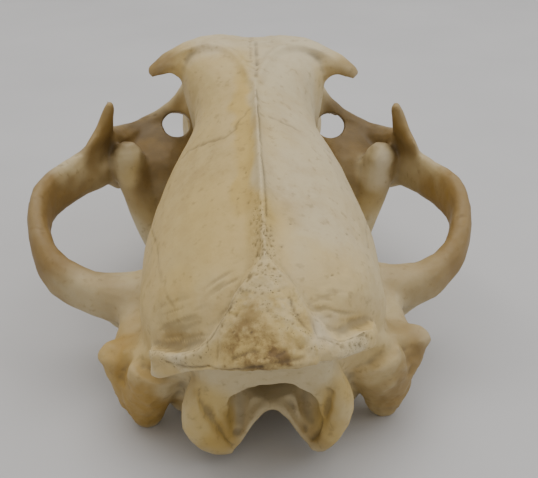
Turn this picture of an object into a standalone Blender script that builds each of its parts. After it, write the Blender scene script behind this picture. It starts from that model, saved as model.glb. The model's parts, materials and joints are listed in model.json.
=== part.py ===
"""Leopard skull, the cranium without the lower jaw, life size.

The bone is modelled whole from named masses and then parted with thin cuts into
the pieces that a person would name. Sizes are in millimetres of a skull frame:
side is the distance from the middle plane, forward runs from the back of the
occipital condyles to the incisors, and up starts at the rim of the tooth sockets.
The finished model is in metres, faces -Y, stands on +Z and rests on the tips of
its canines and of the processes beside its condyles.
"""
import bmesh
import bpy
import numpy as np
from math import atan2, cos, pi, radians, sin
from mathutils import Matrix, Vector

MM = 0.001

# Driving dimensions, in millimetres
BRAINCASE_HALF = 37.0
CONSTRICTION_HALF = 21.0
CROWN_HEIGHT = 80.0
ARCH_HALF = 70.5
MUZZLE_TIP = 206.5
CANINE_FORWARD = 184.0
CANINE_SIDE = 24.5
CANINE_CROWN = 36.0
CANINE_HOOK = 3.2
REST_TIP = (37.0, 20.5, 3.8)
CUT_GAP = 0.3
ARCH_SHIFT = 2.4
BRAIN_SHIFT = 1.8
BASE_SHIFT = 1.4
TIP_SHIFT = 1.5
RIM_LIFT = 5.0
CORNER_SHIFT = 2.2
TWIST = 2.2
FOOT_FLAT = 0.4
FLOOR_BLOCK = 300.0
SHARP_ANGLE = 42.0

# Fineness of the modelling steps
ROUGH_VOXEL = 1.5
SOFT_VOXEL = 1.1
FINE_VOXEL = 0.8
RING_POINTS = 40
TRIANGLES = 10900
MERGE = 0.005


def place(side, forward, up):
    """A point of the skull frame as a point of the unturned part, in metres."""
    return Vector((side * MM, -forward * MM, up * MM))


def eased(rows, count, limited=True):
    """Rows of sizes, with count rows read from smooth curves through them."""
    table = np.array(rows, float)
    if limited:
        steps = np.diff(table[:, 0])
        if steps[0] < 0:
            table = table[::-1]
            steps = np.diff(table[:, 0])
    else:
        steps = np.linalg.norm(np.diff(table[:, :3], axis=0), axis=1)
    along = np.concatenate(([0.0], np.cumsum(steps)))
    slope = np.diff(table, axis=0) / steps[:, None]
    tangent = np.empty_like(table)
    tangent[0] = slope[0]
    tangent[-1] = slope[-1]
    before, after = slope[:-1], slope[1:]
    if limited:
        same_way = before * after > 0
        total = np.where(same_way, before + after, 1.0)
        tangent[1:-1] = np.where(same_way, 2.0 * before * after / total, 0.0)
    else:
        ahead, behind = steps[1:, None], steps[:-1, None]
        tangent[1:-1] = (before * ahead + after * behind) / (ahead + behind)
    wanted = np.linspace(0.0, along[-1], count)
    span = np.clip(np.searchsorted(along, wanted, side="right") - 1, 0, len(steps) - 1)
    length = steps[span][:, None]
    part = (wanted - along[span])[:, None] / length
    square, cube = part ** 2, part ** 3
    return ((2 * cube - 3 * square + 1) * table[span]
            + (cube - 2 * square + part) * length * tangent[span]
            + (3 * square - 2 * cube) * table[span + 1]
            + (cube - square) * length * tangent[span + 1])


def loft(shape, rings):
    """Skin closed rings of equal count, and close both ends."""
    loops = [[shape.verts.new(point) for point in ring] for ring in rings]
    count = len(loops[0])
    faces = []
    for near, far in zip(loops, loops[1:]):
        for i in range(count):
            j = (i + 1) % count
            faces.append(shape.faces.new((near[i], near[j], far[j], far[i])))
    faces.append(shape.faces.new(loops[0][::-1]))
    faces.append(shape.faces.new(loops[-1]))
    return faces


def rounded(angle, power):
    """Cosine and sine of an angle, squared off by a power over 2 or pinched under 2."""
    c, s = cos(angle), sin(angle)
    return (abs(c) ** (2.0 / power) * (1 if c >= 0 else -1),
            abs(s) ** (2.0 / power) * (1 if s >= 0 else -1))


def ball(shape, centre, radii, yaw=0.0):
    """An ellipsoid, turned about the up axis by yaw."""
    made = bmesh.ops.create_uvsphere(shape, u_segments=32, v_segments=20, radius=MM)
    turn = Matrix.Rotation(radians(yaw), 4, 'Z')
    grow = Matrix.Diagonal((radii[0], radii[1], radii[2], 1.0))
    matrix = Matrix.Translation(place(*centre)) @ turn @ grow
    bmesh.ops.transform(shape, matrix=matrix, verts=made["verts"])
    return made["verts"]


def swept(shape, stations, power=2.0, count=28, rows=26, upright=Vector((0, 0, 1))):
    """Sweep an oval along a path. A station is side, forward, up, width, height, lean."""
    table = eased(stations, rows, limited=False)
    centres = [place(*row[:3]) for row in table]
    rings = []
    for index, row in enumerate(table):
        ahead = centres[min(index + 1, rows - 1)] - centres[max(index - 1, 0)]
        ahead.normalize()
        across = ahead.cross(upright).normalized()
        tall = across.cross(ahead).normalized()
        if len(row) > 5:
            turn = Matrix.Rotation(radians(row[5]), 3, ahead)
            across, tall = turn @ across, turn @ tall
        ring = []
        for step in range(count):
            c, s = rounded(2 * pi * step / count, power)
            ring.append(centres[index] + across * (c * row[3] * MM / 2)
                        + tall * (s * row[4] * MM / 2))
        rings.append(ring)
    return loft(shape, rings)


def vault(shape):
    """The braincase, the narrow neck behind the eye sockets and the forehead."""
    wide, narrow, crown = BRAINCASE_HALF, CONSTRICTION_HALF, CROWN_HEIGHT
    # forward, half width, its height, top, bottom, roundness above, roundness below
    stations = (
        (2.0, 18.0, 54.0, 63.0, 46.0, 2.2, 2.2),
        (8.0, 23.5, 53.0, 70.0, 42.0, 2.0, 2.4),
        (18.0, 33.0, 45.0, 74.5, 17.0, 1.9, 2.6),
        (32.0, wide - 0.5, 44.0, 77.5, 12.5, 1.75, 2.6),
        (48.0, wide, 45.0, 79.0, 12.0, 1.7, 2.6),
        (62.0, wide - 2.0, 46.0, crown, 13.0, 1.65, 2.5),
        (75.0, wide - 6.0, 49.0, crown, 15.0, 1.65, 2.3),
        (86.0, wide - 11.8, 53.0, crown, 18.0, 1.75, 2.1),
        (95.0, narrow + 0.2, 57.0, crown, 22.0, 1.9, 2.0),
        (103.0, narrow - 0.7, 60.0, crown - 0.3, 24.0, 2.5, 2.0),
        (111.0, narrow + 1.9, 64.0, crown - 0.4, 24.0, 3.1, 2.0),
        (118.0, narrow + 4.0, 66.0, crown - 0.4, 20.0, 3.5, 2.0),
        (128.0, narrow + 3.5, 64.0, crown - 2.6, 14.0, 3.0, 2.0),
        (138.0, narrow + 1.5, 58.0, crown - 6.5, 8.0, 2.6, 2.2),
        (148.0, narrow - 1.0, 52.0, crown - 12.0, 5.0, 2.5, 2.4),
    )
    rings = []
    for forward, half, middle, top, bottom, above, below in eased(stations, 70):
        ring = []
        for step in range(RING_POINTS):
            angle = 2 * pi * step / RING_POINTS
            upper = sin(angle) >= 0
            c, s = rounded(angle, above if upper else below)
            reach = top - middle if upper else middle - bottom
            ring.append(place(half * c, forward, middle + reach * s))
        rings.append(ring)
    loft(shape, rings)


def around(half_points, count):
    """A smooth closed outline through half points and their mirror images."""
    points = np.array(half_points, float)
    left = points[::-1] * (-1.0, 1.0)
    keep = np.abs(left[:, 0]) > 1e-6
    ring = np.vstack((points, left[keep]))
    total = len(ring)
    step = np.arange(count) * total / count
    base = np.floor(step).astype(int)
    part = (step - base)[:, None]
    a, b, c, d = (ring[(base + k) % total] for k in (-1, 0, 1, 2))
    return 0.5 * (2 * b + (c - a) * part + (2 * a - 5 * b + 4 * c - d) * part ** 2
                  + (3 * b - 3 * c + d - a) * part ** 3)


def muzzle(shape):
    """The nose and upper jaw, a rounded box that tapers to the incisors."""
    # forward, top, groove, nasal half, nasal drop, cheek half, cheek height, tooth row half
    stations = (
        (133.0, 76.3, 2.6, 13.0, 1.0, 23.5, 54.0, 28.0),
        (142.0, 72.2, 2.4, 12.5, 1.8, 27.5, 46.0, 32.0),
        (150.0, 68.2, 1.6, 12.5, 2.6, 28.0, 39.0, 32.5),
        (160.0, 62.6, 0.8, 12.5, 3.2, 26.5, 35.0, 29.5),
        (170.0, 57.2, 0.6, 13.0, 3.8, 26.0, 31.0, 27.5),
        (180.0, 52.0, 0.6, 13.0, 4.5, 26.0, 27.0, 28.0),
        (187.0, 47.5, 0.8, 12.5, 5.5, 24.0, 23.0, 28.0),
        (192.5, 36.0, 0.5, 12.0, 5.5, 20.0, 18.0, 24.5),
        (199.0, 21.5, 0.3, 10.5, 4.0, 15.0, 12.0, 19.0),
        (203.5, 12.0, 0.2, 8.0, 3.0, 11.5, 8.0, 14.5),
        (MUZZLE_TIP, 8.0, 0.0, 6.0, 2.0, 8.0, 5.5, 10.0),
    )
    rings = []
    for forward, top, groove, nasal, drop, cheek_at, height, tooth in eased(stations, 56):
        half = ((0.0, top - groove), (nasal * 0.55, top), (nasal, top - drop), (cheek_at, height),
                (tooth, height * 0.3), (tooth, 1.0), (tooth * 0.8, 0.5), (tooth * 0.6, 4.0),
                (0.0, 5.5))
        outline = around(half, RING_POINTS)
        rings.append([place(side, forward, up) for side, up in outline[::-1]])
    loft(shape, rings)


def cheek(shape):
    """The tooth-bearing block under one eye socket, with the socket's floor on top."""
    # forward, inner side, outer side, bottom, top, lean outwards at the top
    stations = (
        (104.5, 29.0, 36.0, 2.0, 9.0, 0.0),
        (108.0, 26.0, 39.5, 1.0, 17.0, 0.5),
        (112.5, 24.0, 41.0, 0.5, 28.0, 2.0),
        (118.0, 21.0, 43.0, 0.5, 34.0, 4.0),
        (126.0, 18.0, 44.5, 0.5, 36.0, 4.5),
        (134.0, 16.0, 43.5, 0.5, 36.5, 4.5),
        (141.0, 15.0, 40.0, 0.5, 38.5, 2.0),
        (147.0, 14.0, 35.0, 0.5, 38.5, 0.5),
        (153.0, 13.0, 31.5, 0.5, 33.0, 0.0),
    )
    rings = []
    for forward, inner, outer, bottom, top, lean in eased(stations, 36):
        ring = []
        for step in range(RING_POINTS):
            c, s = rounded(2 * pi * step / RING_POINTS, 3.0)
            side = (inner + outer) / 2 + (outer - inner) / 2 * c + lean * s
            ring.append(place(side, forward, (top + bottom) / 2 + (top - bottom) / 2 * s))
        rings.append(ring)
    loft(shape, rings)


def tuber(shape):
    """The rounded back of the upper jaw, like a thumb, behind one eye socket's floor."""
    swept(shape, ((46.6, 118.2, 41.2, 5.0, 4.5, 0.0),
                  (46.6, 117.4, 38.6, 10.0, 9.0, 0.0),
                  (46.3, 116.0, 32.0, 12.4, 11.0, 0.0),
                  (44.2, 113.4, 23.5, 11.8, 11.0, 0.0),
                  (41.0, 109.5, 13.0, 10.4, 10.0, 0.0),
                  (38.6, 105.5, 4.5, 8.0, 8.0, 0.0)), upright=Vector((0, 1, 0)))


def socket_floor(shape):
    """The hollowed floor of one eye socket, between its rim and the upper jaw's back."""
    ball(shape, (45.0, 125.5, 27.5), (11.0, 8.5, 7.0))
    ball(shape, (52.0, 122.0, 26.5), (6.0, 6.0, 8.5))


def cheekbone(shape):
    """The bone under the outer half of one eye socket."""
    swept(shape, ((40.0, 140.0, 30.0, 9.0, 15.0, 0.0),
                  (46.5, 135.0, 29.2, 9.0, 18.5, 2.0),
                  (52.5, 127.0, 31.0, 8.0, 21.0, 6.0),
                  (57.0, 118.0, 32.5, 7.5, 20.0, 8.0),
                  (61.0, 110.0, 33.5, 7.0, 16.5, 9.0)), power=2.6)


def cheek_spike(shape, hand):
    """The small upward spike at the rear end of one eye socket's lower edge."""
    turn = -26.0 * hand
    swept(shape, ((hand * 57.6, 116.5, 36.0, 5.6, 24.0, turn),
                  (hand * 56.4, 117.5, 42.0, 5.0, 18.0, turn),
                  (hand * 54.6, 118.3, 46.0, 4.8, 12.5, turn),
                  (hand * 52.9, 118.5, 51.0, 4.4, 7.5, turn),
                  (hand * 51.3, 118.2, 56.0, 3.4, 4.6, turn),
                  (hand * 50.9, 118.0, 58.2, 2.2, 2.8, turn)), upright=Vector((0, 1, 0)))


def cheek_spikes(shape):
    """Both spikes, each turned to follow its own arch."""
    for hand in (-1, 1):
        cheek_spike(shape, hand)


def socket_rim(shape):
    """The front and lower edge of one eye socket, from the brow to the cheekbone."""
    swept(shape, ((18.0, 134.5, 64.0, 9.0, 8.0, 0.0),
                  (21.5, 139.0, 53.0, 9.5, 8.0, 0.0),
                  (26.5, 141.5, 44.0, 9.0, 8.0, 0.0),
                  (35.0, 141.8, 36.6, 8.0, 8.0, 0.0),
                  (43.5, 138.0, 33.8, 8.0, 8.5, 0.0),
                  (50.0, 130.5, 35.8, 7.0, 9.5, 0.0),
                  (54.5, 122.5, 41.5, 5.5, 9.0, 0.0)), upright=Vector((0, 1, 0.3)), rows=34)


def across(shape, half, section, count=44):
    """Loft from side to side through stations of one half, each drawn by a function."""
    rows = [(-row[0],) + tuple(row[1:]) for row in half[:0:-1]]
    loft(shape, [section(row) for row in eased(rows + list(half), count)])


def brow_section(row):
    """One lengthwise slice of the brow shelf, which slopes down to the front."""
    side, front, back, top, thick = row
    ring = []
    for step in range(24):
        c, s = rounded(2 * pi * step / 24, 2.4)
        forward = (front + back) / 2 + (front - back) / 2 * c
        slope = 0.2 * max(forward - 119.0, 0.0)
        ring.append(place(side, forward, top - thick / 2 + thick / 2 * s - slope))
    return ring


def brow_shelf(shape):
    """The forehead's shelf, with a horn on each side behind the eye socket."""
    # side, front, back, top, thickness
    across(shape, ((0.0, 137.0, 112.5, 77.5, 7.0),
                   (4.0, 137.0, 113.0, 78.8, 7.0),
                   (10.0, 137.5, 117.0, 80.4, 8.0),
                   (17.0, 136.0, 118.8, 80.4, 13.0),
                   (22.5, 133.5, 116.5, 79.4, 16.0),
                   (25.5, 131.5, 115.0, 78.2, 11.0),
                   (28.5, 129.0, 114.8, 76.8, 6.8),
                   (31.8, 126.0, 115.0, 75.2, 5.6),
                   (34.4, 122.8, 116.0, 73.4, 5.0),
                   (35.6, 120.8, 117.2, 72.3, 4.2),
                   (36.5, 119.6, 118.4, 71.4, 1.8)), brow_section, 64)


def temporal_line(shape):
    """The low ridge that runs from one brow horn back to the crest."""
    swept(shape, ((29.0, 117.5, 75.0, 3.4, 2.6, 0.0),
                  (22.0, 119.5, 78.4, 3.4, 2.4, 0.0),
                  (15.0, 120.0, 79.7, 3.4, 2.4, 0.0),
                  (9.5, 117.5, 79.8, 3.4, 2.4, 0.0),
                  (5.5, 112.0, 79.6, 3.2, 2.4, 0.0),
                  (2.8, 104.0, 79.7, 3.0, 2.4, 0.0),
                  (0.8, 95.0, 80.2, 2.6, 2.6, 0.0)), rows=34)


def arch(shape):
    """One cheekbone arch, a tall blade that sweeps from the eye socket to the ear."""
    reach = ARCH_HALF
    # side, forward, up, thickness, height, lean
    swept(shape, ((54.0, 123.5, 32.5, 7.5, 22.0, 8.0),
                  (60.0, 113.5, 33.0, 7.0, 17.5, 9.0),
                  (65.2, 102.5, 35.5, 6.5, 16.5, 8.0),
                  (reach - 1.5, 91.5, 38.0, 6.5, 17.0, 6.0),
                  (reach, 81.0, 38.5, 6.8, 16.5, 2.0),
                  (reach - 1.0, 71.5, 36.0, 7.5, 15.5, 0.0),
                  (65.5, 62.5, 32.5, 8.5, 15.0, 0.0),
                  (58.5, 56.5, 30.0, 9.8, 14.5, 0.0),
                  (50.0, 52.5, 28.5, 11.5, 14.5, 0.0),
                  (41.0, 52.0, 28.0, 15.0, 16.0, 0.0),
                  (32.0, 54.0, 28.0, 18.0, 18.0, 0.0)), power=2.7, rows=60)


def jaw_joint(shape):
    """The crosswise hollow for the lower jaw, with the ledge behind it, on one side."""
    swept(shape, ((26.0, 58.0, 23.0, 20.0, 12.0, 0.0),
                  (38.0, 58.5, 23.0, 19.0, 11.0, 0.0),
                  (49.0, 58.5, 25.0, 15.0, 9.0, 0.0),
                  (59.0, 61.0, 28.0, 8.0, 6.0, 0.0)), power=2.4)
    swept(shape, ((31.0, 51.0, 17.0, 5.0, 12.0, 0.0),
                  (41.0, 50.0, 17.5, 5.0, 10.0, 0.0),
                  (50.0, 51.5, 20.5, 4.0, 6.0, 0.0)), power=2.2)


def ear_region(shape):
    """The ledge over one ear opening, the mastoid knob and the process behind it."""
    swept(shape, ((44.0, 51.0, 28.0, 8.0, 9.0, 0.0),
                  (39.0, 43.0, 27.0, 13.0, 11.0, 0.0),
                  (39.5, 34.0, 26.0, 14.0, 12.0, 0.0),
                  (43.0, 28.0, 26.0, 11.0, 10.0, 0.0)), power=2.3)
    ball(shape, (41.8, 28.0, 24.5), (7.2, 6.2, 9.5))
    swept(shape, ((43.0, 28.0, 33.5, 8.0, 5.0, 0.0),
                  (45.2, 27.0, 29.5, 7.5, 7.0, 0.0),
                  (45.2, 27.0, 23.0, 6.0, 7.0, 0.0),
                  (43.0, 26.5, 15.0, 5.5, 6.0, 0.0)), upright=Vector((0, 1, 0)))
    swept(shape, ((42.0, 26.0, 33.0, 12.0, 6.0, 0.0),
                  (40.5, 23.5, 26.0, 13.0, 9.0, 0.0),
                  (39.6, 22.5, 18.0, 10.5, 9.0, 0.0),
                  (38.6, 21.5, 10.0, 7.5, 8.0, 0.0)), power=2.6, upright=Vector((0, 1, 0)))
    ball(shape, (45.6, 25.6, 31.6), (4.6, 5.2, 2.6))
    ball(shape, (42.4, 22.6, 13.2), (3.0, 3.4, 3.6))
    ball(shape, (34.6, 15.2, 25.0), (3.2, 3.0, 6.0))


def rest_process(shape):
    """The blunt process between one mastoid knob and its condyle."""
    side, forward, up = REST_TIP
    swept(shape, ((31.0, 17.5, 34.0, 12.0, 16.0, 0.0),
                  (34.5, 18.5, 23.0, 9.0, 15.5, 0.0),
                  (side - 1.0, forward - 1.0, 14.0, 8.5, 13.0, 0.0),
                  (side - 0.5, forward, 7.5, 7.0, 10.0, 0.0),
                  (side, forward, up, 4.5, 6.0, 0.0)), upright=Vector((1, 0, 0)))


def wall_section(row):
    """One lengthwise slice of the wall under the nuchal crest."""
    side, back, bottom, top = row
    ring = []
    for step in range(24):
        c, s = rounded(2 * pi * step / 24, 2.8)
        ring.append(place(side, back + 6.0 - 6.0 * c,
                          (top + bottom) / 2 + (top - bottom) / 2 * s))
    return ring


def occiput_wall(shape):
    """The hollowed wall under the nuchal crest, deepest beside its middle pillar."""
    # side, back face, bottom, top
    across(shape, ((0.0, 5.5, 31.0, 64.0), (12.0, 4.0, 25.0, 60.0), (16.8, 3.6, 22.0, 57.0),
                   (18.4, 5.0, 19.0, 55.0), (19.8, 10.0, 17.0, 53.0), (22.0, 15.5, 14.0, 51.0),
                   (26.0, 18.0, 12.0, 48.0), (30.0, 19.0, 11.0, 44.0), (37.0, 20.0, 11.0, 36.0),
                   (42.0, 22.0, 14.0, 32.0)), wall_section, 60)


def skull_base(shape):
    """The keel of bone from between the condyles forward to the throat."""
    swept(shape, ((0.0, 12.0, 22.0, 20.0, 5.0, 0.0),
                  (0.0, 17.0, 19.5, 24.0, 8.0, 0.0),
                  (0.0, 24.0, 17.5, 26.0, 9.0, 0.0),
                  (0.0, 38.0, 17.5, 26.0, 10.0, 0.0),
                  (0.0, 55.0, 18.5, 28.0, 12.0, 0.0),
                  (0.0, 75.0, 21.0, 26.0, 14.0, 0.0),
                  (0.0, 100.0, 24.0, 24.0, 18.0, 0.0)), power=2.6)


def palate(shape):
    """The roof of the mouth behind the canines, and the walls of the throat."""
    # forward, half width, height, thickness
    swept(shape, ((0.0, 101.0, 8.0, 52.0, 7.0, 0.0),
                  (0.0, 112.0, 8.0, 62.0, 8.0, 0.0),
                  (0.0, 130.0, 8.0, 60.0, 9.0, 0.0),
                  (0.0, 150.0, 8.0, 50.0, 9.0, 0.0)), power=3.0)
    for hand in (-1, 1):
        swept(shape, ((hand * 20.0, 114.0, 18.0, 6.0, 30.0, 0.0),
                      (hand * 19.0, 106.0, 16.0, 5.0, 28.0, 0.0),
                      (hand * 16.5, 96.0, 14.0, 3.5, 24.0, 0.0),
                      (hand * 15.0, 85.0, 12.5, 3.2, 21.0, 0.0),
                      (hand * 14.5, 76.0, 9.5, 3.2, 20.0, 0.0),
                      (hand * 14.5, 72.5, 7.0, 3.0, 17.0, 0.0)), power=2.6)


def sinus_bulges(shape):
    """The swellings over the canine roots."""
    for hand in (-1, 1):
        swept(shape, ((hand * 24.0, 184.0, 2.0, 15.0, 17.0, 0.0),
                      (hand * 23.5, 180.0, 14.0, 14.0, 16.0, 0.0),
                      (hand * 21.5, 171.0, 27.0, 12.0, 14.0, 0.0),
                      (hand * 19.0, 160.0, 36.0, 8.0, 10.0, 0.0)), upright=Vector((0, 1, 0)))


def sagittal_crest(shape):
    """The keel along the top of the braincase."""
    crown = CROWN_HEIGHT
    heights = ((107.0, -1.2), (99.0, 0.2), (90.0, 1.3), (75.0, 2.6), (58.0, 3.0), (42.0, 2.6),
               (28.0, 0.8), (18.0, -1.2), (8.0, -4.5))
    swept(shape, [(0.0, forward, crown + rise - 6.0, 2.8, 12.0, 0.0)
                  for forward, rise in heights], power=1.9, rows=40)
    swept(shape, [(0.0, forward, crown + rise - 10.0, 17.0, 18.0, 0.0)
                  for forward, rise in heights], power=1.1, rows=40)


def shelf_section(row):
    """One lengthwise slice of the nuchal shelf."""
    side, ridge_at, ridge, rim_at, rim, thick = row
    outline = ((ridge_at + 14.0, ridge - 12.0), (ridge_at + 5.0, ridge - 2.5),
               (ridge_at, ridge), (0.6 * ridge_at + 0.4 * rim_at - 0.5, (ridge + rim) / 2 + 1.5),
               (rim_at, rim), (rim_at + 0.3, rim - 0.6 * thick), (rim_at + 2.0, rim - thick),
               (rim_at + 9.0, rim - thick - 0.5), (ridge_at + 14.0, rim - thick - 5.0))
    return [place(side, forward, up) for forward, up in outline]


def nuchal_crest(shape):
    """The rough three-cornered shelf at the back, which flares into two side flanges."""
    # side, ridge forward, ridge up, rim forward, rim up, rim thickness
    across(shape, ((0.0, 13.0, 77.0, -12.8, 65.5, 3.4), (6.5, 6.5, 73.5, -11.8, 64.0, 3.0),
                   (12.0, 1.0, 67.0, -9.0, 61.2, 2.8), (18.0, -1.0, 60.5, -5.0, 56.6, 3.0),
                   (24.0, 1.5, 55.8, -0.5, 51.4, 3.6), (29.0, 5.5, 52.2, 3.0, 47.5, 4.4),
                   (31.8, 8.0, 50.2, 5.5, 45.8, 4.0)), shelf_section, 60)


def nuchal_tail(shape):
    """The lower run of the nuchal crest, from one corner down to the mastoid."""
    swept(shape, ((27.0, 14.0, 42.0, 5.0, 6.0, 0.0),
                  (32.5, 19.0, 37.0, 5.0, 6.0, 0.0),
                  (38.0, 23.0, 33.0, 5.0, 6.0, 0.0),
                  (43.0, 26.5, 30.5, 6.0, 6.0, 0.0)))


def condyle(shape):
    """One of the two smooth knuckles that met the first neck bone."""
    swept(shape, ((17.6, 10.0, 39.5, 4.0, 5.0, 0.0),
                  (19.2, 6.8, 35.5, 6.0, 8.5, 0.0),
                  (20.3, 5.4, 29.8, 7.8, 10.0, 0.0),
                  (19.4, 4.8, 24.0, 9.2, 10.5, 0.0),
                  (17.0, 4.4, 18.4, 8.6, 10.2, 0.0),
                  (13.7, 4.3, 14.1, 6.6, 8.2, 0.0),
                  (10.8, 4.2, 12.6, 4.4, 5.0, 0.0)), upright=Vector((0, 1, 0)), rows=34)
    ball(shape, (19.5, 13.0, 24.0), (4.5, 7.0, 8.0))
    ball(shape, (12.5, 16.0, 20.0), (6.5, 9.5, 8.5))


def floor_section(row):
    """One lengthwise slice of the great opening's floor."""
    side, back, middle = row
    ring = []
    for step in range(20):
        c, s = rounded(2 * pi * step / 20, 2.4)
        ring.append(place(side, back + 8.0 - 8.0 * c, middle + 2.4 * s))
    return ring


def opening_floor(shape):
    """The floor of the great opening, with its notched back edge between the condyles."""
    # side, back edge, middle height
    across(shape, ((0.0, 10.0, 21.8), (4.2, 8.0, 20.0), (7.0, 5.6, 17.0), (9.0, 4.2, 14.4),
                   (11.2, 3.6, 12.8), (13.2, 4.5, 13.5)), floor_section, 36)


def opening_side(shape):
    """One side wall of the great opening, on the inner face of a condyle."""
    swept(shape, ((15.0, 9.5, 34.0, 5.0, 12.0, 0.0),
                  (15.0, 9.5, 27.0, 5.0, 13.0, 0.0),
                  (14.2, 9.0, 20.0, 5.0, 13.0, 0.0),
                  (12.6, 8.0, 14.5, 4.0, 9.0, 0.0)), upright=Vector((0, 1, 0)))


def ear_capsule(shape):
    """One swollen capsule under the ear."""
    ball(shape, (24.0, 35.0, 12.0), (10.5, 16.5, 11.0), yaw=14.0)


def tooth_cusp(shape, side, forward, length, width, height, back=0.0):
    """One pointed cusp on an oval foot, hanging from the tooth row."""
    rings = []
    for part, size in ((-0.3, 0.94), (0.0, 1.0), (0.3, 0.84), (0.6, 0.55), (0.85, 0.28),
                       (1.0, 0.1)):
        ring = []
        for step in range(16):
            angle = 2 * pi * step / 16
            ring.append(place(side + width / 2 * size * cos(angle),
                              forward - back * max(part, 0.0) + length / 2 * size * sin(angle),
                              2.0 - (height + 2.0) * part))
        rings.append(ring)
    loft(shape, rings)


def tooth_foot(shape, ends, width, height):
    """The low body that the cusps of one cheek tooth share."""
    start, end = ends
    middle = [(a + b) / 2 for a, b in zip(start, end)]
    swept(shape, ((*start, 1.0, width * 0.5, height * 0.8, 0.0),
                  (*middle, 0.0, width, height * 1.2, 0.0),
                  (*end, 1.0, width * 0.5, height * 0.8, 0.0)), power=2.4)


def cheek_teeth(shape):
    """The slicing carnassial, the two premolars before it and the peg molar, one side."""
    tooth_foot(shape, ((38.8, 108.8), (36.0, 135.5)), 8.0, 9.0)
    tooth_cusp(shape, 36.8, 131.5, 9.0, 7.5, 7.5)
    tooth_cusp(shape, 37.4, 124.0, 13.5, 9.0, 13.0, back=1.5)
    tooth_cusp(shape, 38.3, 114.5, 13.5, 6.5, 9.0, back=-1.5)
    tooth_cusp(shape, 31.0, 130.5, 7.0, 7.5, 3.5)
    tooth_foot(shape, ((33.8, 137.5), (31.5, 154.0)), 7.5, 6.5)
    tooth_cusp(shape, 32.6, 146.0, 12.5, 8.0, 11.0, back=1.0)
    tooth_cusp(shape, 33.4, 139.5, 6.0, 6.5, 5.5)
    tooth_cusp(shape, 31.8, 152.5, 5.0, 5.0, 4.0)
    tooth_cusp(shape, 28.8, 161.0, 5.5, 4.5, 4.5)
    tooth_cusp(shape, 32.5, 107.5, 5.0, 8.0, 3.0)


def incisors(shape):
    """Three front teeth of one side, the outer one the largest."""
    for side, forward, length, width, height in ((3.1, 204.5, 6.0, 4.8, 7.5),
                                                 (8.4, 203.2, 6.5, 5.4, 8.5),
                                                 (14.4, 199.5, 8.5, 7.0, 12.5)):
        tooth_cusp(shape, side, forward, length, width, height, back=1.5)


def canine_shape(shape, hand, grow=0.0):
    """The long canine of one side, with its root sunk in the jaw."""
    side, forward, crown = CANINE_SIDE, CANINE_FORWARD, CANINE_CROWN
    # side, forward, up, width, length
    stations = ((side - 1.0, forward - 3.0, 14.0 + grow / 2, 11.0, 13.5),
                (side, forward, 2.0, 12.5, 16.0),
                (side + 0.6, forward + 1.2, -0.3 * crown, 11.0, 13.5),
                (side + 0.8, forward + 0.2, -0.65 * crown, 7.6, 9.0),
                (side + 0.6, forward + 0.5 - CANINE_HOOK, -0.92 * crown, 3.6, 4.2),
                (side + 0.5, forward - CANINE_HOOK, -crown, 1.6, 1.8))
    swept(shape, [(hand * out, ahead, up, width + grow, length + grow, 0.0)
                  for out, ahead, up, width, length in stations],
          count=20, upright=Vector((0, 1, 0)), rows=17)


def copy_across(shape, build):
    """Add one side's mass and its mirror image."""
    one = bmesh.new()
    build(one)
    for mirrored in (False, True):
        both = one.copy()
        if mirrored:
            bmesh.ops.transform(both, matrix=Matrix.Diagonal((-1, 1, 1, 1)), verts=both.verts)
            bmesh.ops.reverse_faces(both, faces=both.faces)
        mesh = bpy.data.meshes.new("side")
        both.to_mesh(mesh)
        shape.from_mesh(mesh)
        both.free()
        bpy.data.meshes.remove(mesh)
    one.free()


def as_object(shape, name):
    """Turn a bmesh into a scene object, with its faces pointing out."""
    bmesh.ops.recalc_face_normals(shape, faces=shape.faces)
    mesh = bpy.data.meshes.new(name)
    shape.to_mesh(mesh)
    shape.free()
    thing = bpy.data.objects.new(name, mesh)
    bpy.context.scene.collection.objects.link(thing)
    return thing


def settle(thing):
    """Apply the modifiers of an object to its mesh."""
    bpy.context.view_layer.update()
    graph = bpy.context.evaluated_depsgraph_get()
    mesh = bpy.data.meshes.new_from_object(thing.evaluated_get(graph))
    thing.modifiers.clear()
    old = thing.data
    thing.data = mesh
    bpy.data.meshes.remove(old)


def fuse(thing, voxel, smoothing):
    """Melt overlapping masses into one skin and soften its hollows and edges."""
    remesh = thing.modifiers.new("Fuse", 'REMESH')
    remesh.mode = 'VOXEL'
    remesh.voxel_size = voxel * MM
    if smoothing:
        soften = thing.modifiers.new("Soften", 'SMOOTH')
        soften.factor = 0.5
        soften.iterations = smoothing
    settle(thing)


def cut(thing, cutter):
    """Take a cutter's volume out of an object."""
    cutter.hide_render = True
    cutter.display_type = 'WIRE'
    boolean = thing.modifiers.new("Cut", 'BOOLEAN')
    boolean.operation = 'DIFFERENCE'
    boolean.object = cutter
    boolean.solver = 'EXACT'
    settle(thing)
    bpy.data.objects.remove(cutter)


def eye_socket(shape):
    """The space that one eye and its muscles filled."""
    ball(shape, (37.5, 124.0, 54.0), (17.5, 17.0, 17.5), yaw=-20.0)


def infraorbital_canal(shape):
    """The short hole below the front rim of one eye socket."""
    swept(shape, ((29.0, 128.0, 43.0, 11.4, 10.4, 0.0),
                  (30.4, 143.5, 32.4, 11.0, 9.6, 0.0),
                  (31.4, 158.0, 22.6, 14.0, 10.4, 0.0),
                  (33.0, 170.0, 15.0, 15.0, 8.0, 0.0)))


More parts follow.
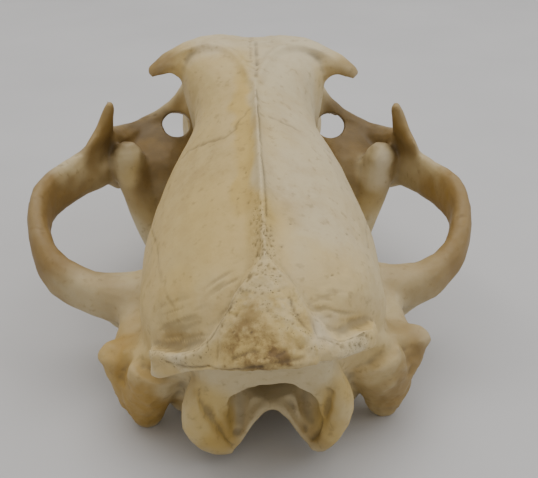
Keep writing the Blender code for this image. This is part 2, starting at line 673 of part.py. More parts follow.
def great_opening(shape):
    """The way into the braincase between the condyles, and the hollow behind it."""
    swept(shape, ((-0.8, -8.0, 30.0, 24.5, 14.0, 0.0),
                  (-0.8, 4.0, 29.6, 25.5, 14.0, 0.0),
                  (-0.4, 16.0, 31.5, 24.5, 16.0, 0.0),
                  (0.0, 30.0, 38.0, 34.0, 30.0, 0.0),
                  (0.0, 40.0, 41.0, 20.0, 16.0, 0.0)), power=2.3)
    for side in (9.4, -11.0):
        swept(shape, ((side, -8.0, 21.6, 6.4, 14.4, 0.0),
                      (side, 4.0, 22.4, 6.4, 13.2, 0.0),
                      (0.9 * side, 12.0, 27.0, 7.0, 10.0, 0.0),
                      (0.7 * side, 22.0, 34.0, 7.0, 8.0, 0.0)))
    # notches of the upper margin
    ball(shape, (9.8, 3.0, 32.4), (1.3, 9.0, 2.2))
    ball(shape, (-5.5, 3.0, 35.2), (3.4, 9.0, 2.4))


def nose_hollow(shape):
    """The pear-shaped nose opening."""
    swept(shape, ((0.0, 218.0, 34.0, 24.0, 46.0, 0.0),
                  (0.0, 197.0, 27.0, 21.0, 34.0, 0.0),
                  (0.0, 180.0, 27.5, 21.0, 32.0, 0.0),
                  (0.0, 158.0, 31.0, 17.0, 26.0, 0.0)), power=2.2)


def melt(builders, both_sides, seed=None):
    """Collect named masses in one mesh, those of one side with their mirror image."""
    shape = bmesh.new()
    if seed is not None:
        shape.from_mesh(seed.data)
        bpy.data.objects.remove(seed)
    for build in builders:
        build(shape)
    for build in both_sides:
        copy_across(shape, build)
    return as_object(shape, "bone")


def blend(value, start, end):
    """A smooth step from 0 at the start to 1 at the end."""
    part = np.clip((value - start) / (end - start), 0.0, 1.0)
    return part * part * (3.0 - 2.0 * part)


def lopsided(mesh):
    """The slight skew of this skull: its arches, braincase, base and rear shelf."""
    table = np.empty(len(mesh.vertices) * 3)
    mesh.vertices.foreach_get("co", table)
    table = table.reshape(-1, 3) / MM
    side, forward, up = table[:, 0].copy(), -table[:, 1], table[:, 2].copy()
    far = abs(side)
    left = side > 0
    rear = np.where(left, 1.0 - blend(forward, 84.0, 110.0), 1.0)
    arches = ARCH_SHIFT * blend(far, 53.0, 67.0) * rear
    along = blend(forward, 20.0, 40.0) * (1.0 - blend(forward, 70.0, 95.0))
    brain = BRAIN_SHIFT * blend(far, 20.0, 35.0) * (1.0 - blend(far, 42.0, 60.0)) * along
    low_rear = (1.0 - blend(far, 11.0, 20.0)) * (1.0 - blend(forward, 12.0, 30.0))
    base = BASE_SHIFT * low_rear * (1.0 - blend(up, 25.0, 35.0))
    slope = sin(radians(TWIST)) * (2.0 * blend(forward, 10.0, 120.0) - 1.0) * blend(up, 10.0, 24.0)
    table[:, 0] += arches + np.where(left, -0.35, 1.0) * brain - base
    table[:, 2] += side * slope
    corner = blend(-side, 14.0, 29.0) * (1.0 - blend(forward, 9.0, 24.0)) * blend(up, 35.0, 42.0)
    table[:, 2] += RIM_LIFT * corner
    table[:, 0] += CORNER_SHIFT * corner
    tip = (1.0 - blend(up, 8.0, 24.0)) * blend(-side, 24.0, 32.0) * (1.0 - blend(forward, 30.0, 40.0))
    table[:, 1] -= TIP_SHIFT * tip
    mesh.vertices.foreach_set("co", (table * MM).ravel())
    mesh.update()


def build_bone():
    """The whole cranium as one skin, before it is parted."""
    bone = melt((vault, muzzle, occiput_wall, skull_base, sinus_bulges),
                (cheek, socket_floor, ear_region, arch, cheekbone, jaw_joint))
    fuse(bone, ROUGH_VOXEL, 3)
    cut(bone, melt((), (eye_socket,)))
    fuse(bone, SOFT_VOXEL, 6)
    bone = melt((sagittal_crest, nuchal_crest, palate, brow_shelf, opening_floor, cheek_spikes),
                (socket_rim, temporal_line, tuber, nuchal_tail, rest_process, condyle,
                 opening_side, ear_capsule, cheek_teeth, incisors), seed=bone)
    fuse(bone, FINE_VOXEL, 4)
    hollows = melt((great_opening, nose_hollow), (infraorbital_canal,))
    fuse(hollows, FINE_VOXEL, 3)
    cut(bone, hollows)
    thin_out(bone, TRIANGLES)
    lopsided(bone.data)
    return bone


def thin_out(thing, triangles):
    """Reduce a dense skin to about so many triangles."""
    ratio = triangles / sum(len(face.vertices) - 2 for face in thing.data.polygons)
    reduce = thing.modifiers.new("Reduce", 'DECIMATE')
    reduce.ratio = ratio
    reduce.use_collapse_triangulate = True
    settle(thing)


def slab(middle, size, yaw=0.0, tilt=0.0):
    """A thin box in the skull frame, turned by yaw in plan or by tilt in side view."""
    shape = bmesh.new()
    made = bmesh.ops.create_cube(shape, size=MM)
    turn = Matrix.Rotation(radians(yaw), 4, 'Z') @ Matrix.Rotation(radians(tilt), 4, 'X')
    matrix = Matrix.Translation(place(*middle)) @ turn @ Matrix.Diagonal((*size, 1.0))
    bmesh.ops.transform(shape, matrix=matrix, verts=made["verts"])
    return as_object(shape, "slab")


def part_bone(bone):
    """Saw the bone with thin cuts where a person would name its parts."""
    gap = CUT_GAP
    # middle, size, yaw, tilt
    saws = [((0.0, 20.0, 41.0), (130.0, gap, 150.0), 0.0, 12.4),
            ((0.0, 150.0, 40.0), (90.0, gap, 110.0), 0.0, 0.0),
            ((0.0, 123.5, 45.0), (88.0, 53.2, gap), 0.0, 0.0),
            ((0.0, 97.0, 45.0), (92.0, gap, 110.0), 0.0, 0.0),
            ((0.0, 82.5, 26.0), (92.0, 29.2, gap), 0.0, 0.0),
            ((0.0, 40.0, 26.0), (26.4, 56.4, gap), 0.0, 0.0)]
    for hand in (-1, 1):
        saws += [((hand * 13.0, 40.0, 11.0), (gap, 56.4, 51.4), 0.0, 0.0),
                 ((hand * 32.2, 40.0, 36.5), (38.7, 56.4, gap), 0.0, 0.0),
                 ((hand * 32.2, 68.0, 11.0), (38.7, gap, 51.3), 0.0, 0.0),
                 ((hand * 51.4, 75.0, 40.0), (gap, 78.0, 110.0), 0.0, 0.0),
                 ((hand * 61.5, 119.0, 40.0), (23.0, gap, 110.0), hand * -26.5, 0.0)]
    for middle, size, yaw, tilt in saws:
        cut(bone, slab(middle, size, yaw, tilt))


def bodies(shape):
    """The separate closed surfaces of a mesh, as lists of vertices."""
    waiting = set(shape.verts)
    found = []
    while waiting:
        queue = [waiting.pop()]
        body = []
        while queue:
            vertex = queue.pop()
            body.append(vertex)
            for edge in vertex.link_edges:
                other = edge.other_vert(vertex)
                if other in waiting:
                    waiting.remove(other)
                    queue.append(other)
        found.append(body)
    return found


def pick_body(bone, name, seed):
    """Copy the body that lies nearest to a point into an object of its own."""
    shape = bmesh.new()
    shape.from_mesh(bone.data)
    target = place(*seed)
    found = bodies(shape)
    nearest = min(found, key=lambda body: min((v.co - target).length_squared for v in body))
    others = [vertex for body in found if body is not nearest for vertex in body]
    bmesh.ops.delete(shape, geom=others, context='VERTS')
    bmesh.ops.remove_doubles(shape, verts=shape.verts, dist=MERGE * MM)
    bmesh.ops.dissolve_degenerate(shape, edges=shape.edges, dist=MERGE * MM)
    return as_object(shape, name)


def canine(name, hand):
    """One canine as an object of its own."""
    shape = bmesh.new()
    canine_shape(shape, hand)
    return as_object(shape, name)


def resting(nodes, supports):
    """The turn and shift that stand the skull on its four lowest tips."""
    drop = REST_TIP[2] + CANINE_CROWN
    reach = CANINE_FORWARD - CANINE_HOOK - REST_TIP[1]
    turn = Matrix.Rotation(-atan2(drop, reach), 4, 'X')
    corners = {node.name: np.array([turn @ vertex.co for vertex in node.data.vertices])
               for node in nodes}
    floor = max(corners[name][:, 2].min() for name in supports) + FOOT_FLAT * MM
    everything = np.vstack(list(corners.values()))
    middle = (everything.min(axis=0) + everything.max(axis=0)) / 2
    return Matrix.Translation((-middle[0], -middle[1], -floor)) @ turn


def stand(nodes, supports):
    """Hang the nodes on one empty that carries the resting pose, with small flats."""
    pose = resting(nodes, supports)
    holder = bpy.data.objects.new("skull", None)
    bpy.context.scene.collection.objects.link(holder)
    holder.matrix_world = pose
    for node in nodes:
        if node.name in supports:
            shape = bmesh.new()
            made = bmesh.ops.create_cube(shape, size=FLOOR_BLOCK * MM)
            below = pose.inverted() @ Matrix.Translation((0.0, 0.0, -FLOOR_BLOCK / 2 * MM))
            bmesh.ops.transform(shape, matrix=below, verts=made["verts"])
            cut(node, as_object(shape, "below_floor"))
        node.parent = holder


def finish(node, colour, roughness):
    """Smooth shading and the node's own bone or enamel material."""
    material = bpy.data.materials.new(node.name)
    material.use_nodes = True
    surface = material.node_tree.nodes["Principled BSDF"]
    surface.inputs["Base Color"].default_value = (*colour, 1.0)
    surface.inputs["Roughness"].default_value = roughness
    surface.inputs["Metallic"].default_value = 0.0
    node.data.materials.clear()
    node.data.materials.append(material)
    node.data.shade_smooth()
    node.data.set_sharp_from_angle(angle=radians(SHARP_ANGLE))


def main():
    for thing in list(bpy.data.objects):
        bpy.data.objects.remove(thing)
    bone = build_bone()
    for hand in (-1, 1):
        socket = bmesh.new()
        canine_shape(socket, hand, 2 * CUT_GAP)
        cut(bone, as_object(socket, "socket"))
    part_bone(bone)
    # name, a point on it, colour, roughness
    looks = (("braincase", (0.0, 60.0, 82.0), (0.50, 0.41, 0.27), 0.62),
             ("forehead", (30.0, 118.0, 74.0), (0.48, 0.39, 0.26), 0.62),
             ("muzzle", (0.0, 200.0, 5.0), (0.52, 0.43, 0.29), 0.60),
             ("upper_jaw", (44.0, 125.0, 20.0), (0.42, 0.31, 0.18), 0.62),
             ("zygomatic_arch_left", (71.0, 81.0, 38.0), (0.37, 0.27, 0.14), 0.58),
             ("zygomatic_arch_right", (-71.0, 81.0, 38.0), (0.40, 0.30, 0.17), 0.58),
             ("ear_left", (24.0, 35.0, 1.0), (0.36, 0.24, 0.09), 0.60),
             ("ear_right", (-24.0, 35.0, 1.0), (0.37, 0.28, 0.15), 0.60),
             ("skull_base", (0.0, 80.0, 16.0), (0.40, 0.31, 0.19), 0.64),
             ("occiput", (0.0, -12.0, 64.0), (0.47, 0.37, 0.23), 0.70))
    nodes = []
    for name, seed, colour, roughness in looks:
        node = pick_body(bone, name, seed)
        finish(node, colour, roughness)
        nodes.append(node)
    bpy.data.objects.remove(bone)
    for name, hand in (("canine_left", 1), ("canine_right", -1)):
        node = canine(name, hand)
        finish(node, (0.66, 0.57, 0.40), 0.32)
        nodes.append(node)
    stand(nodes, ("canine_left", "canine_right", "ear_left", "ear_right"))


main()
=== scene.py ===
"""The skull of a large leopard, without its lower jaw, resting on a pale table.

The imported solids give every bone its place. The bones are drawn again from them as one fine
skin, so that no saw line shows, and carved with sutures, pores and scars before they are parted.
"""

import json
from math import cos, pi, radians, sin

import bmesh
import bpy
import numpy as np
from bpy.props import FloatProperty, FloatVectorProperty, IntProperty, PointerProperty
from mathutils import Matrix, Vector
from mathutils.bvhtree import BVHTree

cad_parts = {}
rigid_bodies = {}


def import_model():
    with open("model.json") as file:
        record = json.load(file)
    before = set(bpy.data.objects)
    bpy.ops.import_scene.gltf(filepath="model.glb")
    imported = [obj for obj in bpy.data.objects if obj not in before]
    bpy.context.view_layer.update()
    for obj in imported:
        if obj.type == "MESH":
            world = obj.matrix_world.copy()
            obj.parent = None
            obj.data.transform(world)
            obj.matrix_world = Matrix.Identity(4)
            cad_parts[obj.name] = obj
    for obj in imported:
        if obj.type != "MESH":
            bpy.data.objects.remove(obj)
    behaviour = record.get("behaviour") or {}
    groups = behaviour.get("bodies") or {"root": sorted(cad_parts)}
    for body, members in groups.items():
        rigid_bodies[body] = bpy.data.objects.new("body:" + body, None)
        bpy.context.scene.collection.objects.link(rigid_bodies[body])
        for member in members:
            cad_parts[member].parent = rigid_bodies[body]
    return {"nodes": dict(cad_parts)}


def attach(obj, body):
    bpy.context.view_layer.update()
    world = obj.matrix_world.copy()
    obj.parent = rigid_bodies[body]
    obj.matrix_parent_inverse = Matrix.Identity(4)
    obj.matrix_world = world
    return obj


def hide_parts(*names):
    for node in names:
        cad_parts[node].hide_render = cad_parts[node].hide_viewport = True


bl_info = {
    "name": "Leopard Skull",
    "version": (1, 0, 0),
    "blender": (4, 5, 0),
    "location": "View3D > Sidebar > Skull",
    "description": "Builds a leopard skull, bone by bone, and the table that it rests on",
    "category": "Add Mesh",
}

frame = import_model()

MM = 0.001
# how the skull lies: its own level tipped forward, then set down on the table
POSE = Matrix.Translation((-0.00245, 0.08645, -0.0091)) @ Matrix.Rotation(radians(-13.94), 4, 'X')
TURN = POSE.to_3x3()
BONES = ("braincase", "forehead", "muzzle", "upper_jaw", "zygomatic_arch_left",
         "zygomatic_arch_right", "ear_left", "ear_right", "skull_base", "occiput")
# what the bones' points carry over the cuts: name, kind of value, numbers to a point
MASKS = (("tint", "color", 4), ("tint_deep", "color", 4), ("wear", "color", 4),
         ("outward", "vector", 3))
# an oval patch fades out between these shares of its radii
OVAL_EDGE = (0.35, 1.0)
# a sharp corner swells no more than this many times as far as a flat place
SHARPEST = 1.5
# corners nearer than this are one, in metres
MERGE = 1e-6
# cells along each side of the grain's table
LATTICE = 32
# steps out and back, so that easing keeps the size
EASE = (0.50, -0.53)
# distances from a cut, in mm, up to which the skin heals in full and past which it doesn't
HEALED = (0.6, 1.7)
# the saws leave corners whose masks are all above this, and that many rounds mend them
SAWN, MENDING = 0.02, 6
# a face whose normal agrees less than this with the skin's way out is a cut face
CUT_FACE = 0.3
# corners of a loose body that vote for the bone that it belongs to
VOTES = 150
made = {}


# places on the skull: side, forward and up in mm, with side to its own left

def place(side, forward, up):
    """A point of the skull's own measures, in metres on the table."""
    return POSE @ Vector((side * MM, -forward * MM, up * MM))


def measures(points):
    """Points on the table in the skull's own measures, in mm."""
    own = (points - np.array(POSE.translation)) @ np.array(TURN) / MM
    return own * (1.0, -1.0, 1.0)


def eased(points, count):
    """A smooth line of count places through the given ones."""
    rows = np.array(points, float)
    rows = np.vstack((2 * rows[0] - rows[1], rows, 2 * rows[-1] - rows[-2]))
    line = []
    for spot in np.linspace(0.0, len(rows) - 3.001, count):
        step = int(spot)
        t = spot - step
        a, b, c, d = rows[step:step + 4]
        line.append(0.5 * (2 * b + (c - a) * t + (2 * a - 5 * b + 4 * c - d) * t * t
                           + (3 * b - a - 3 * c + d) * t ** 3))
    return np.array(line)


def grain(points, size, seed):
    """Smooth values from -1 to 1, the same each run, whose lumps are about size mm across."""
    table = np.random.default_rng(seed).uniform(-1.0, 1.0, (LATTICE,) * 3)
    spot = points / size
    base = np.floor(spot).astype(int)
    share = spot - base
    share = share * share * (3 - 2 * share)
    total = np.zeros(len(points))
    for corner in np.ndindex(2, 2, 2):
        cell = (base + corner) % LATTICE
        weight = np.where(corner, share, 1 - share).prod(axis=1)
        total += weight * table[cell[:, 0], cell[:, 1], cell[:, 2]]
    return total


def waves(points, rows):
    """Lumps of several sizes added up, each with its height, size in mm and seed."""
    return sum(height * grain(points, size, seed) for height, size, seed in rows)


def layered(points, size, seed):
    """Lumps with two layers of smaller lumps on them."""
    return waves(points, [(0.5 ** step, size * 0.5 ** step, seed + step) for step in range(3)])


def ramp(values, low, high):
    """From 0 at low to 1 at high, eased at both ends."""
    share = np.clip((values - low) / (high - low), 0.0, 1.0)
    return share * share * (3 - 2 * share)


def bell(away, width):
    """From 1 in the middle of a mark to nearly 0 at twice its half width."""
    return np.exp(-(away / width) ** 2)


def near_line(points, line, reach):
    """How far each point is from a line, up to reach."""
    gap = np.full(len(points), reach)
    close = ((points > line.min(0) - reach) & (points < line.max(0) + reach)).all(1)
    spots = np.flatnonzero(close)
    near, nearest = points[spots], gap[spots]
    for start, end in zip(line[:-1], line[1:]):
        step, away = end - start, near - start
        share = np.clip(away @ step / (np.linalg.norm(step) + 1e-9) ** 2, 0.0, 1.0)
        nearest = np.minimum(nearest, np.linalg.norm(away - share[:, None] * step, axis=1))
    gap[spots] = nearest
    return gap


def around(points, centre, radii):
    """From 1 at the middle of an oval patch to 0 outside it."""
    return 1.0 - ramp(np.linalg.norm((points - centre) / radii, axis=1), *OVAL_EDGE)


# seams between the bones: way of looking, both sides or not, width, depth, places
SEAMS = (
    ("top", False, 0.50, 0.35, ((19.9, 73), (12.8, 69.2), (8.5, 68.9), (5.4, 74.5), (2.6, 79))),
    ("top", False, 0.50, 0.35, ((-16.2, 69.4), (-12.7, 73), (-8.5, 74.3), (-4.3, 75.5))),
    ("side", True, 0.50, 0.30, ((73, 70), (78, 58), (82, 46), (84, 36))),
    ("side", True, 0.55, 0.45, ((13, 60.6), (20.8, 61), (29.5, 60.2), (43.5, 58.6), (55, 54),
                                (66, 46), (76, 37), (82, 28))),
    ("top", False, 0.55, 0.50, ((0.7, 112), (0.9, 122), (0.4, 131), (0.6, 141), (0.0, 150))),
    ("top", False, 0.50, 0.40, ((0.0, 150), (0.2, 165), (-0.1, 180), (0.0, 192))),
    ("top", True, 0.50, 0.35, ((10.5, 191), (9.0, 178), (8.2, 164), (6.4, 152), (3.0, 143),
                               (0.3, 141))),
    ("top", True, 0.50, 0.35, ((6.8, 154), (10.5, 147), (16, 146), (21, 142), (26, 141))),
    ("side", True, 0.50, 0.35, ((199, 3), (193, 14), (188, 26), (181, 36), (172, 41))),
    ("side", True, 0.50, 0.35, ((116, 20), (125, 22), (134, 27), (139, 34), (140, 41))),
    ("side", True, 0.55, 0.45, ((108, 55), (104, 49), (96, 44), (84, 37), (72, 31), (60, 26),
                                (53, 22))),
    ("below", False, 0.50, 0.35, ((0, 199), (0.4, 180), (-0.3, 160), (0.2, 140), (0, 112))),
    ("below", True, 0.50, 0.30, ((0.3, 143), (8, 142), (16, 135), (22, 124))),
    ("below", True, 0.50, 0.35, ((0, 46), (6, 46.6), (11, 45))),
)

# cracks: half width, depth, places; all in mm
CRACKS = (
    # the first two run under the lower edge of the nape's face: their dark paint is partly real
    # cracks and partly painted shade under that edge
    (0.50, 0.50, ((28, 4.2, 51.4), (26.3, 1.8, 51.7), (23.8, -0.2, 53), (21.1, -2.5, 53.8),
                  (15.7, -6.3, 57.9))),
    (0.52, 0.55, ((15.7, -6.3, 57.9), (10.7, -9.3, 60.2), (5.7, -11.7, 63.3), (1.6, -12.4, 65),
                  (-3.9, -11.4, 65.4), (-8.9, -9.5, 64.2))),
    (0.45, 0.35, ((9, -9, 64.5), (3.2, -9.2, 66.6), (-0.3, -10.9, 66.2), (-4, -9.5, 66.5))),
    (0.45, 0.35, ((3.3, 9, 75.1), (7.5, 4.4, 71.5), (11.1, 0.5, 67.3), (12.9, -0.9, 65),
                  (15, -1.7, 62.7), (18, -1.5, 59.7))),
    (0.50, 0.26, ((-0.4, 100, 81), (-0.6, 81.4, 81.7), (-1.2, 53.7, 82.1), (-1.6, 36.8, 80.6),
                  (-1.5, 27.4, 79.4))),
    (0.50, 0.38, ((-1.2, 132, 77), (-1.2, 117.3, 79.5), (-1.1, 110.2, 79.6), (-0.9, 102.2, 80.3))),
    (0.42, 0.30, ((-5.9, 2.5, 72.2), (-8.1, -1.9, 69.5), (-11.7, -3.7, 66), (-17, -2, 62.2))),
)

# scratched flanks: centre, radii, way of the scratches, seed
COMBS = (
    ((24, 8, 55), (18, 13, 16), (0.80, 0.45, -0.75), 51),
    ((-18, 4, 62), (16, 12, 13), (-0.80, 0.45, -0.60), 52),
    ((10, 9, 71), (9, 11, 9), (0.70, -0.20, -0.55), 53),
)

# the inner edges of the condyles, the depth and half width of the groove along them, and the
# radii of the place round an edge's middle where the groove is cut, in mm
LIP_LEFT = ((18.9, 4, 37.6), (18.1, 2.8, 35.6), (17, 2.7, 31.9), (15.2, 2.8, 26.9),
            (13.2, 2.8, 22.8), (11.1, 3.1, 17.8), (9.3, 2.9, 14.4))
LIP_RIGHT = ((-17.5, 3.1, 36.3), (-16.8, 3, 31.3), (-16.1, 3, 27.8), (-14.8, 4, 22),
             (-13.6, 4, 17.5), (-12.5, 3.6, 15.7))
LIP_GROOVE = (1.1, 1.3)
LIP_REACH = (14.0, 14.0, 18.0)

# the rims of the nape, from the crest out to the sides, and the split at the crest's rear end
RIM_LEFT = ((0.7, 22.0, 78.0), (2.1, 9.2, 75.5), (6.1, 5.6, 73.2), (10.6, 0.5, 68.2),
            (15.1, -2.4, 62.9), (22, -0.7, 56.5), (31.2, 9.6, 48.8))
RIM_RIGHT = ((0.7, 22.0, 78.0), (-2.7, 2.3, 72.6), (-5.6, -2.2, 69.9), (-9.1, -5.6, 66.3),
             (-15.5, -4.7, 60.7), (-22.6, -0.1, 56.2), (-29.7, 10.4, 51.2))
CREST_SPLIT = ((0.7, 32, 80), (0.5, 20, 78), (0.2, 10, 76.5))
# half widths of the roughness of rim and split, height and half width of the rim's bead, and
# depth, distance and half width of the hollow in front of it, in mm
RIM_ROUGH, SPLIT_ROUGH = 3.6, 4.0
RIM_BEAD = (0.45, 1.3)
RIM_HOLLOW = (0.9, 4.2, 2.4)
# the bead and the hollow begin between these places, counted backwards in mm
RIM_END = (-13.0, -7.0)

# rows of lumps: height and size in mm, seed. The rim's heights are shares of its roughness
LOW_WAVES = ((0.22, 11.0, 1), (0.10, 4.5, 2), (0.03, 1.6, 3))
RIM_LUMPS = ((0.5, 2.4, 21), (0.25, 1.2, 22), (0.125, 0.6, 23), (0.4, 0.9, 24))
FACE_LUMPS = ((0.24, 1.0, 25), (0.20, 2.1, 26), (0.22, 5.0, 22))
CRUMBS = ((0.55, 5.5, 28), (0.35, 2.6, 29), (0.16, 1.1, 30))

# ovals: centre and radii of the nape's face, the apex of the nape and the left ear region
NAPE_FACE = ((0.0, -3.0, 66.0), (27.0, 22.0, 17.0))
APEX = ((0.4, 17.0, 77.5), (6.0, 16.0, 8.0))
EAR_REGION = ((42.0, 16.0, 20.0), (17.0, 17.0, 26.0))

# depth of the scratches, count of the pores and their least and greatest radius, in mm
SCRATCH_DEPTH = 0.20
PORES, PORE_RADIUS = 150, (0.22, 0.40)
# how thickly the pores lie on the rims, the apex, the nape's face and the top of the vault
RIM_PORES, APEX_PORES, FACE_PORES, VAULT_PORES = 0.25, 0.9, 0.05, 0.008
# how far below the sockets and how far forward the teeth begin, each from none to all
TOOTH_DOWN, TOOTH_FORWARD = (0.0, 1.5), (100.0, 106.0)

# the nape's face: how far forward its middle stands, how fast it falls back to the sides and how
# far back it ends; how much it leans forward for each mm above a height, and how far down and up
FACE_MIDDLE, FACE_FALL, FACE_BACK = 13.0, 1.45, -6.0
FACE_LEAN, FACE_HEIGHT, FACE_REACH = 0.8, 66.0, (-8.0, 12.0)
# what lies in front of the face and what lies in it, in mm from its edge, each from none to all
FACE_AHEAD, FACE_INSIDE = (0.5, 3.0), (-1.0, 1.5)


def along_face(where):
    """How far each point lies in front of the nape's face, in mm."""
    side, forward, up = where.T
    return (forward - (FACE_MIDDLE - FACE_FALL * np.abs(side)).clip(FACE_BACK)
            - FACE_LEAN * (up - FACE_HEIGHT).clip(*FACE_REACH))


# for each way of looking, the way itself and a place far out on that side of the skull
LOOKS = {"side": ((-1, 0, 0), 120.0), "top": ((0, 0, -1), 160.0), "below": ((0, 0, 1), -60.0)}


def on_skin(tree, way, spots):
    """Lay flat places on the skull's skin, seen from the top, from its left side or from below."""
    look, far = LOOKS[way]
    line = []
    for first, second in eased(spots, 8 * len(spots)):
        start = (far, first, second) if way == "side" else (first, second, far)
        hit = tree.ray_cast(place(*start), TURN @ Vector(look))
        if hit[0] is not None:
            line.append(measures(np.array(hit[0])[None])[0])
    return np.array(line)


def read(rows, key, width=1, kind=float):
    """One property of a mesh's rows as an array, with width numbers to a row."""
    values = np.zeros(len(rows) * width, kind)
    rows.foreach_get(key, values)
    return values.reshape(-1, width) if width > 1 else values


def write(rows, key, values):
    """Set one property of a mesh's rows."""
    rows.foreach_set(key, values.astype(np.float32).ravel())


def add_mask(mesh, name, *channels):
    """Give each point of a mesh four values that its material reads by name."""
    layer = mesh.attributes.new(name, 'FLOAT_COLOR', 'POINT')
    write(layer.data, "color", np.stack(channels, axis=1))


def gathered(values, first, second):
    """For each point the sum of its neighbours' values along the edges."""
    count = len(values)
    return np.bincount(first, values[second], count) + np.bincount(second, values[first], count)


class Skin:
    """A whole surface as arrays, while it is carved."""

    def __init__(self, thing, tree=None, owners=None):
        self.thing, self.tree, self.owners = thing, tree, owners
        self.points = read(thing.data.vertices, "co", 3)
        edges = read(thing.data.edges, "vertices", 2, int)
        self.first, self.second = edges.T
        self.ties = np.bincount(edges.ravel(), minlength=len(self.points)).astype(float)[:, None]

    def neighbours(self, values):
        """The mean of each point's neighbours."""
        total = [gathered(column, self.first, self.second) for column in values.T]
        return np.stack(total, axis=1) / self.ties

    def ease(self, amount):
        """Move each point towards the mean of its neighbours."""
        self.points += amount * (self.neighbours(self.points) - self.points)

    def relax(self, rounds, hold=0.0):
        """Ease the facets out of the skin and keep its size. Where hold is 1 nothing moves."""
        free = 1.0 - np.asarray(hold).reshape(-1, 1)
        for _ in range(rounds):
            for strength in EASE:
                self.ease(strength * free)

    def store(self):
        """Write the points back to the mesh."""
        write(self.thing.data.vertices, "co", self.points)
        self.thing.data.update()

    def normals(self):
        """The way out at each point."""
        self.store()
        return read(self.thing.data.vertex_normals, "vector", 3)

    def push(self, height):
        """Move every point out by its own height in mm, but not out of the solids' box."""
        self.points += self.normals() * (height * MM)[:, None]
        self.points = np.clip(self.points, *solid_box())
        self.store()

    def hollows(self, rounds):
        """In mm, how far each point lies below its surroundings: ridges are negative."""
        mean = self.points.copy()
        for _ in range(rounds):
            mean = self.neighbours(mean)
        return ((mean - self.points) * self.normals()).sum(1) / MM


def solid_box():
    """The lowest and the highest corner of the box round all the solids."""
    spots = np.array([thing.matrix_world @ Vector(corner) for thing in frame["nodes"].values()
                      for corner in thing.bound_box])
    return spots.min(0), spots.max(0)


def joined_bones(sizes):
    """A merged copy of the bone nodes, swollen until the thin cuts between them close."""
    shape, owners = bmesh.new(), []
    for index, name in enumerate(BONES):
        one = bmesh.new()
        one.from_mesh(frame["nodes"][name].data)
        bmesh.ops.remove_doubles(one, verts=one.verts, dist=MERGE)
        one.normal_update()
        for vert in one.verts:
            vert.co += vert.normal * sizes.heal * min(vert.calc_shell_factor(), SHARPEST)
        mesh = bpy.data.meshes.new(name)
        one.to_mesh(mesh)
        one.free()
        shape.from_mesh(mesh)
        bpy.data.meshes.remove(mesh)
        owners += [index] * (len(shape.faces) - len(owners))
    return shape, np.array(owners)


def show(name, data):
    """Put a mesh, a lamp or a camera into the scene as an object."""
    thing = bpy.data.objects.new(name, data)
    bpy.context.scene.collection.objects.link(thing)
    return thing


def as_object(shape, name):
    """A bmesh as an object of the scene."""
    mesh = bpy.data.meshes.new(name)
    shape.to_mesh(mesh)
    shape.free()
    return show(name, mesh)


def settle(thing):
    """Apply the modifiers of an object to its mesh."""
    bpy.context.view_layer.update()
    graph = bpy.context.evaluated_depsgraph_get()
    mesh = bpy.data.meshes.new_from_object(thing.evaluated_get(graph))
    thing.modifiers.clear()
    old = thing.data
    thing.data = mesh
    bpy.data.meshes.remove(old)


def remesh(thing, voxel):
    """Melt an object's overlapping masses into one skin of even squares."""
    melt = thing.modifiers.new("Melt", 'REMESH')
    melt.mode = 'VOXEL'
    melt.voxel_size = voxel
    settle(thing)


def near_cuts(where):
    """1 beside the cuts between the nodes and 0 away from them."""
    near = np.zeros(len(where))
    own = where * (1.0, -1.0, 1.0)
    for middle, size, yaw, tilt in saws():
        turn = Matrix.Rotation(radians(yaw), 3, 'Z') @ Matrix.Rotation(radians(tilt), 3, 'X')
        away = np.abs((own - np.array(middle) * (1.0, -1.0, 1.0)) @ np.array(turn))
        near = np.maximum(near, 1.0 - ramp((away - np.array(size) / 2).max(1), *HEALED))
    return near


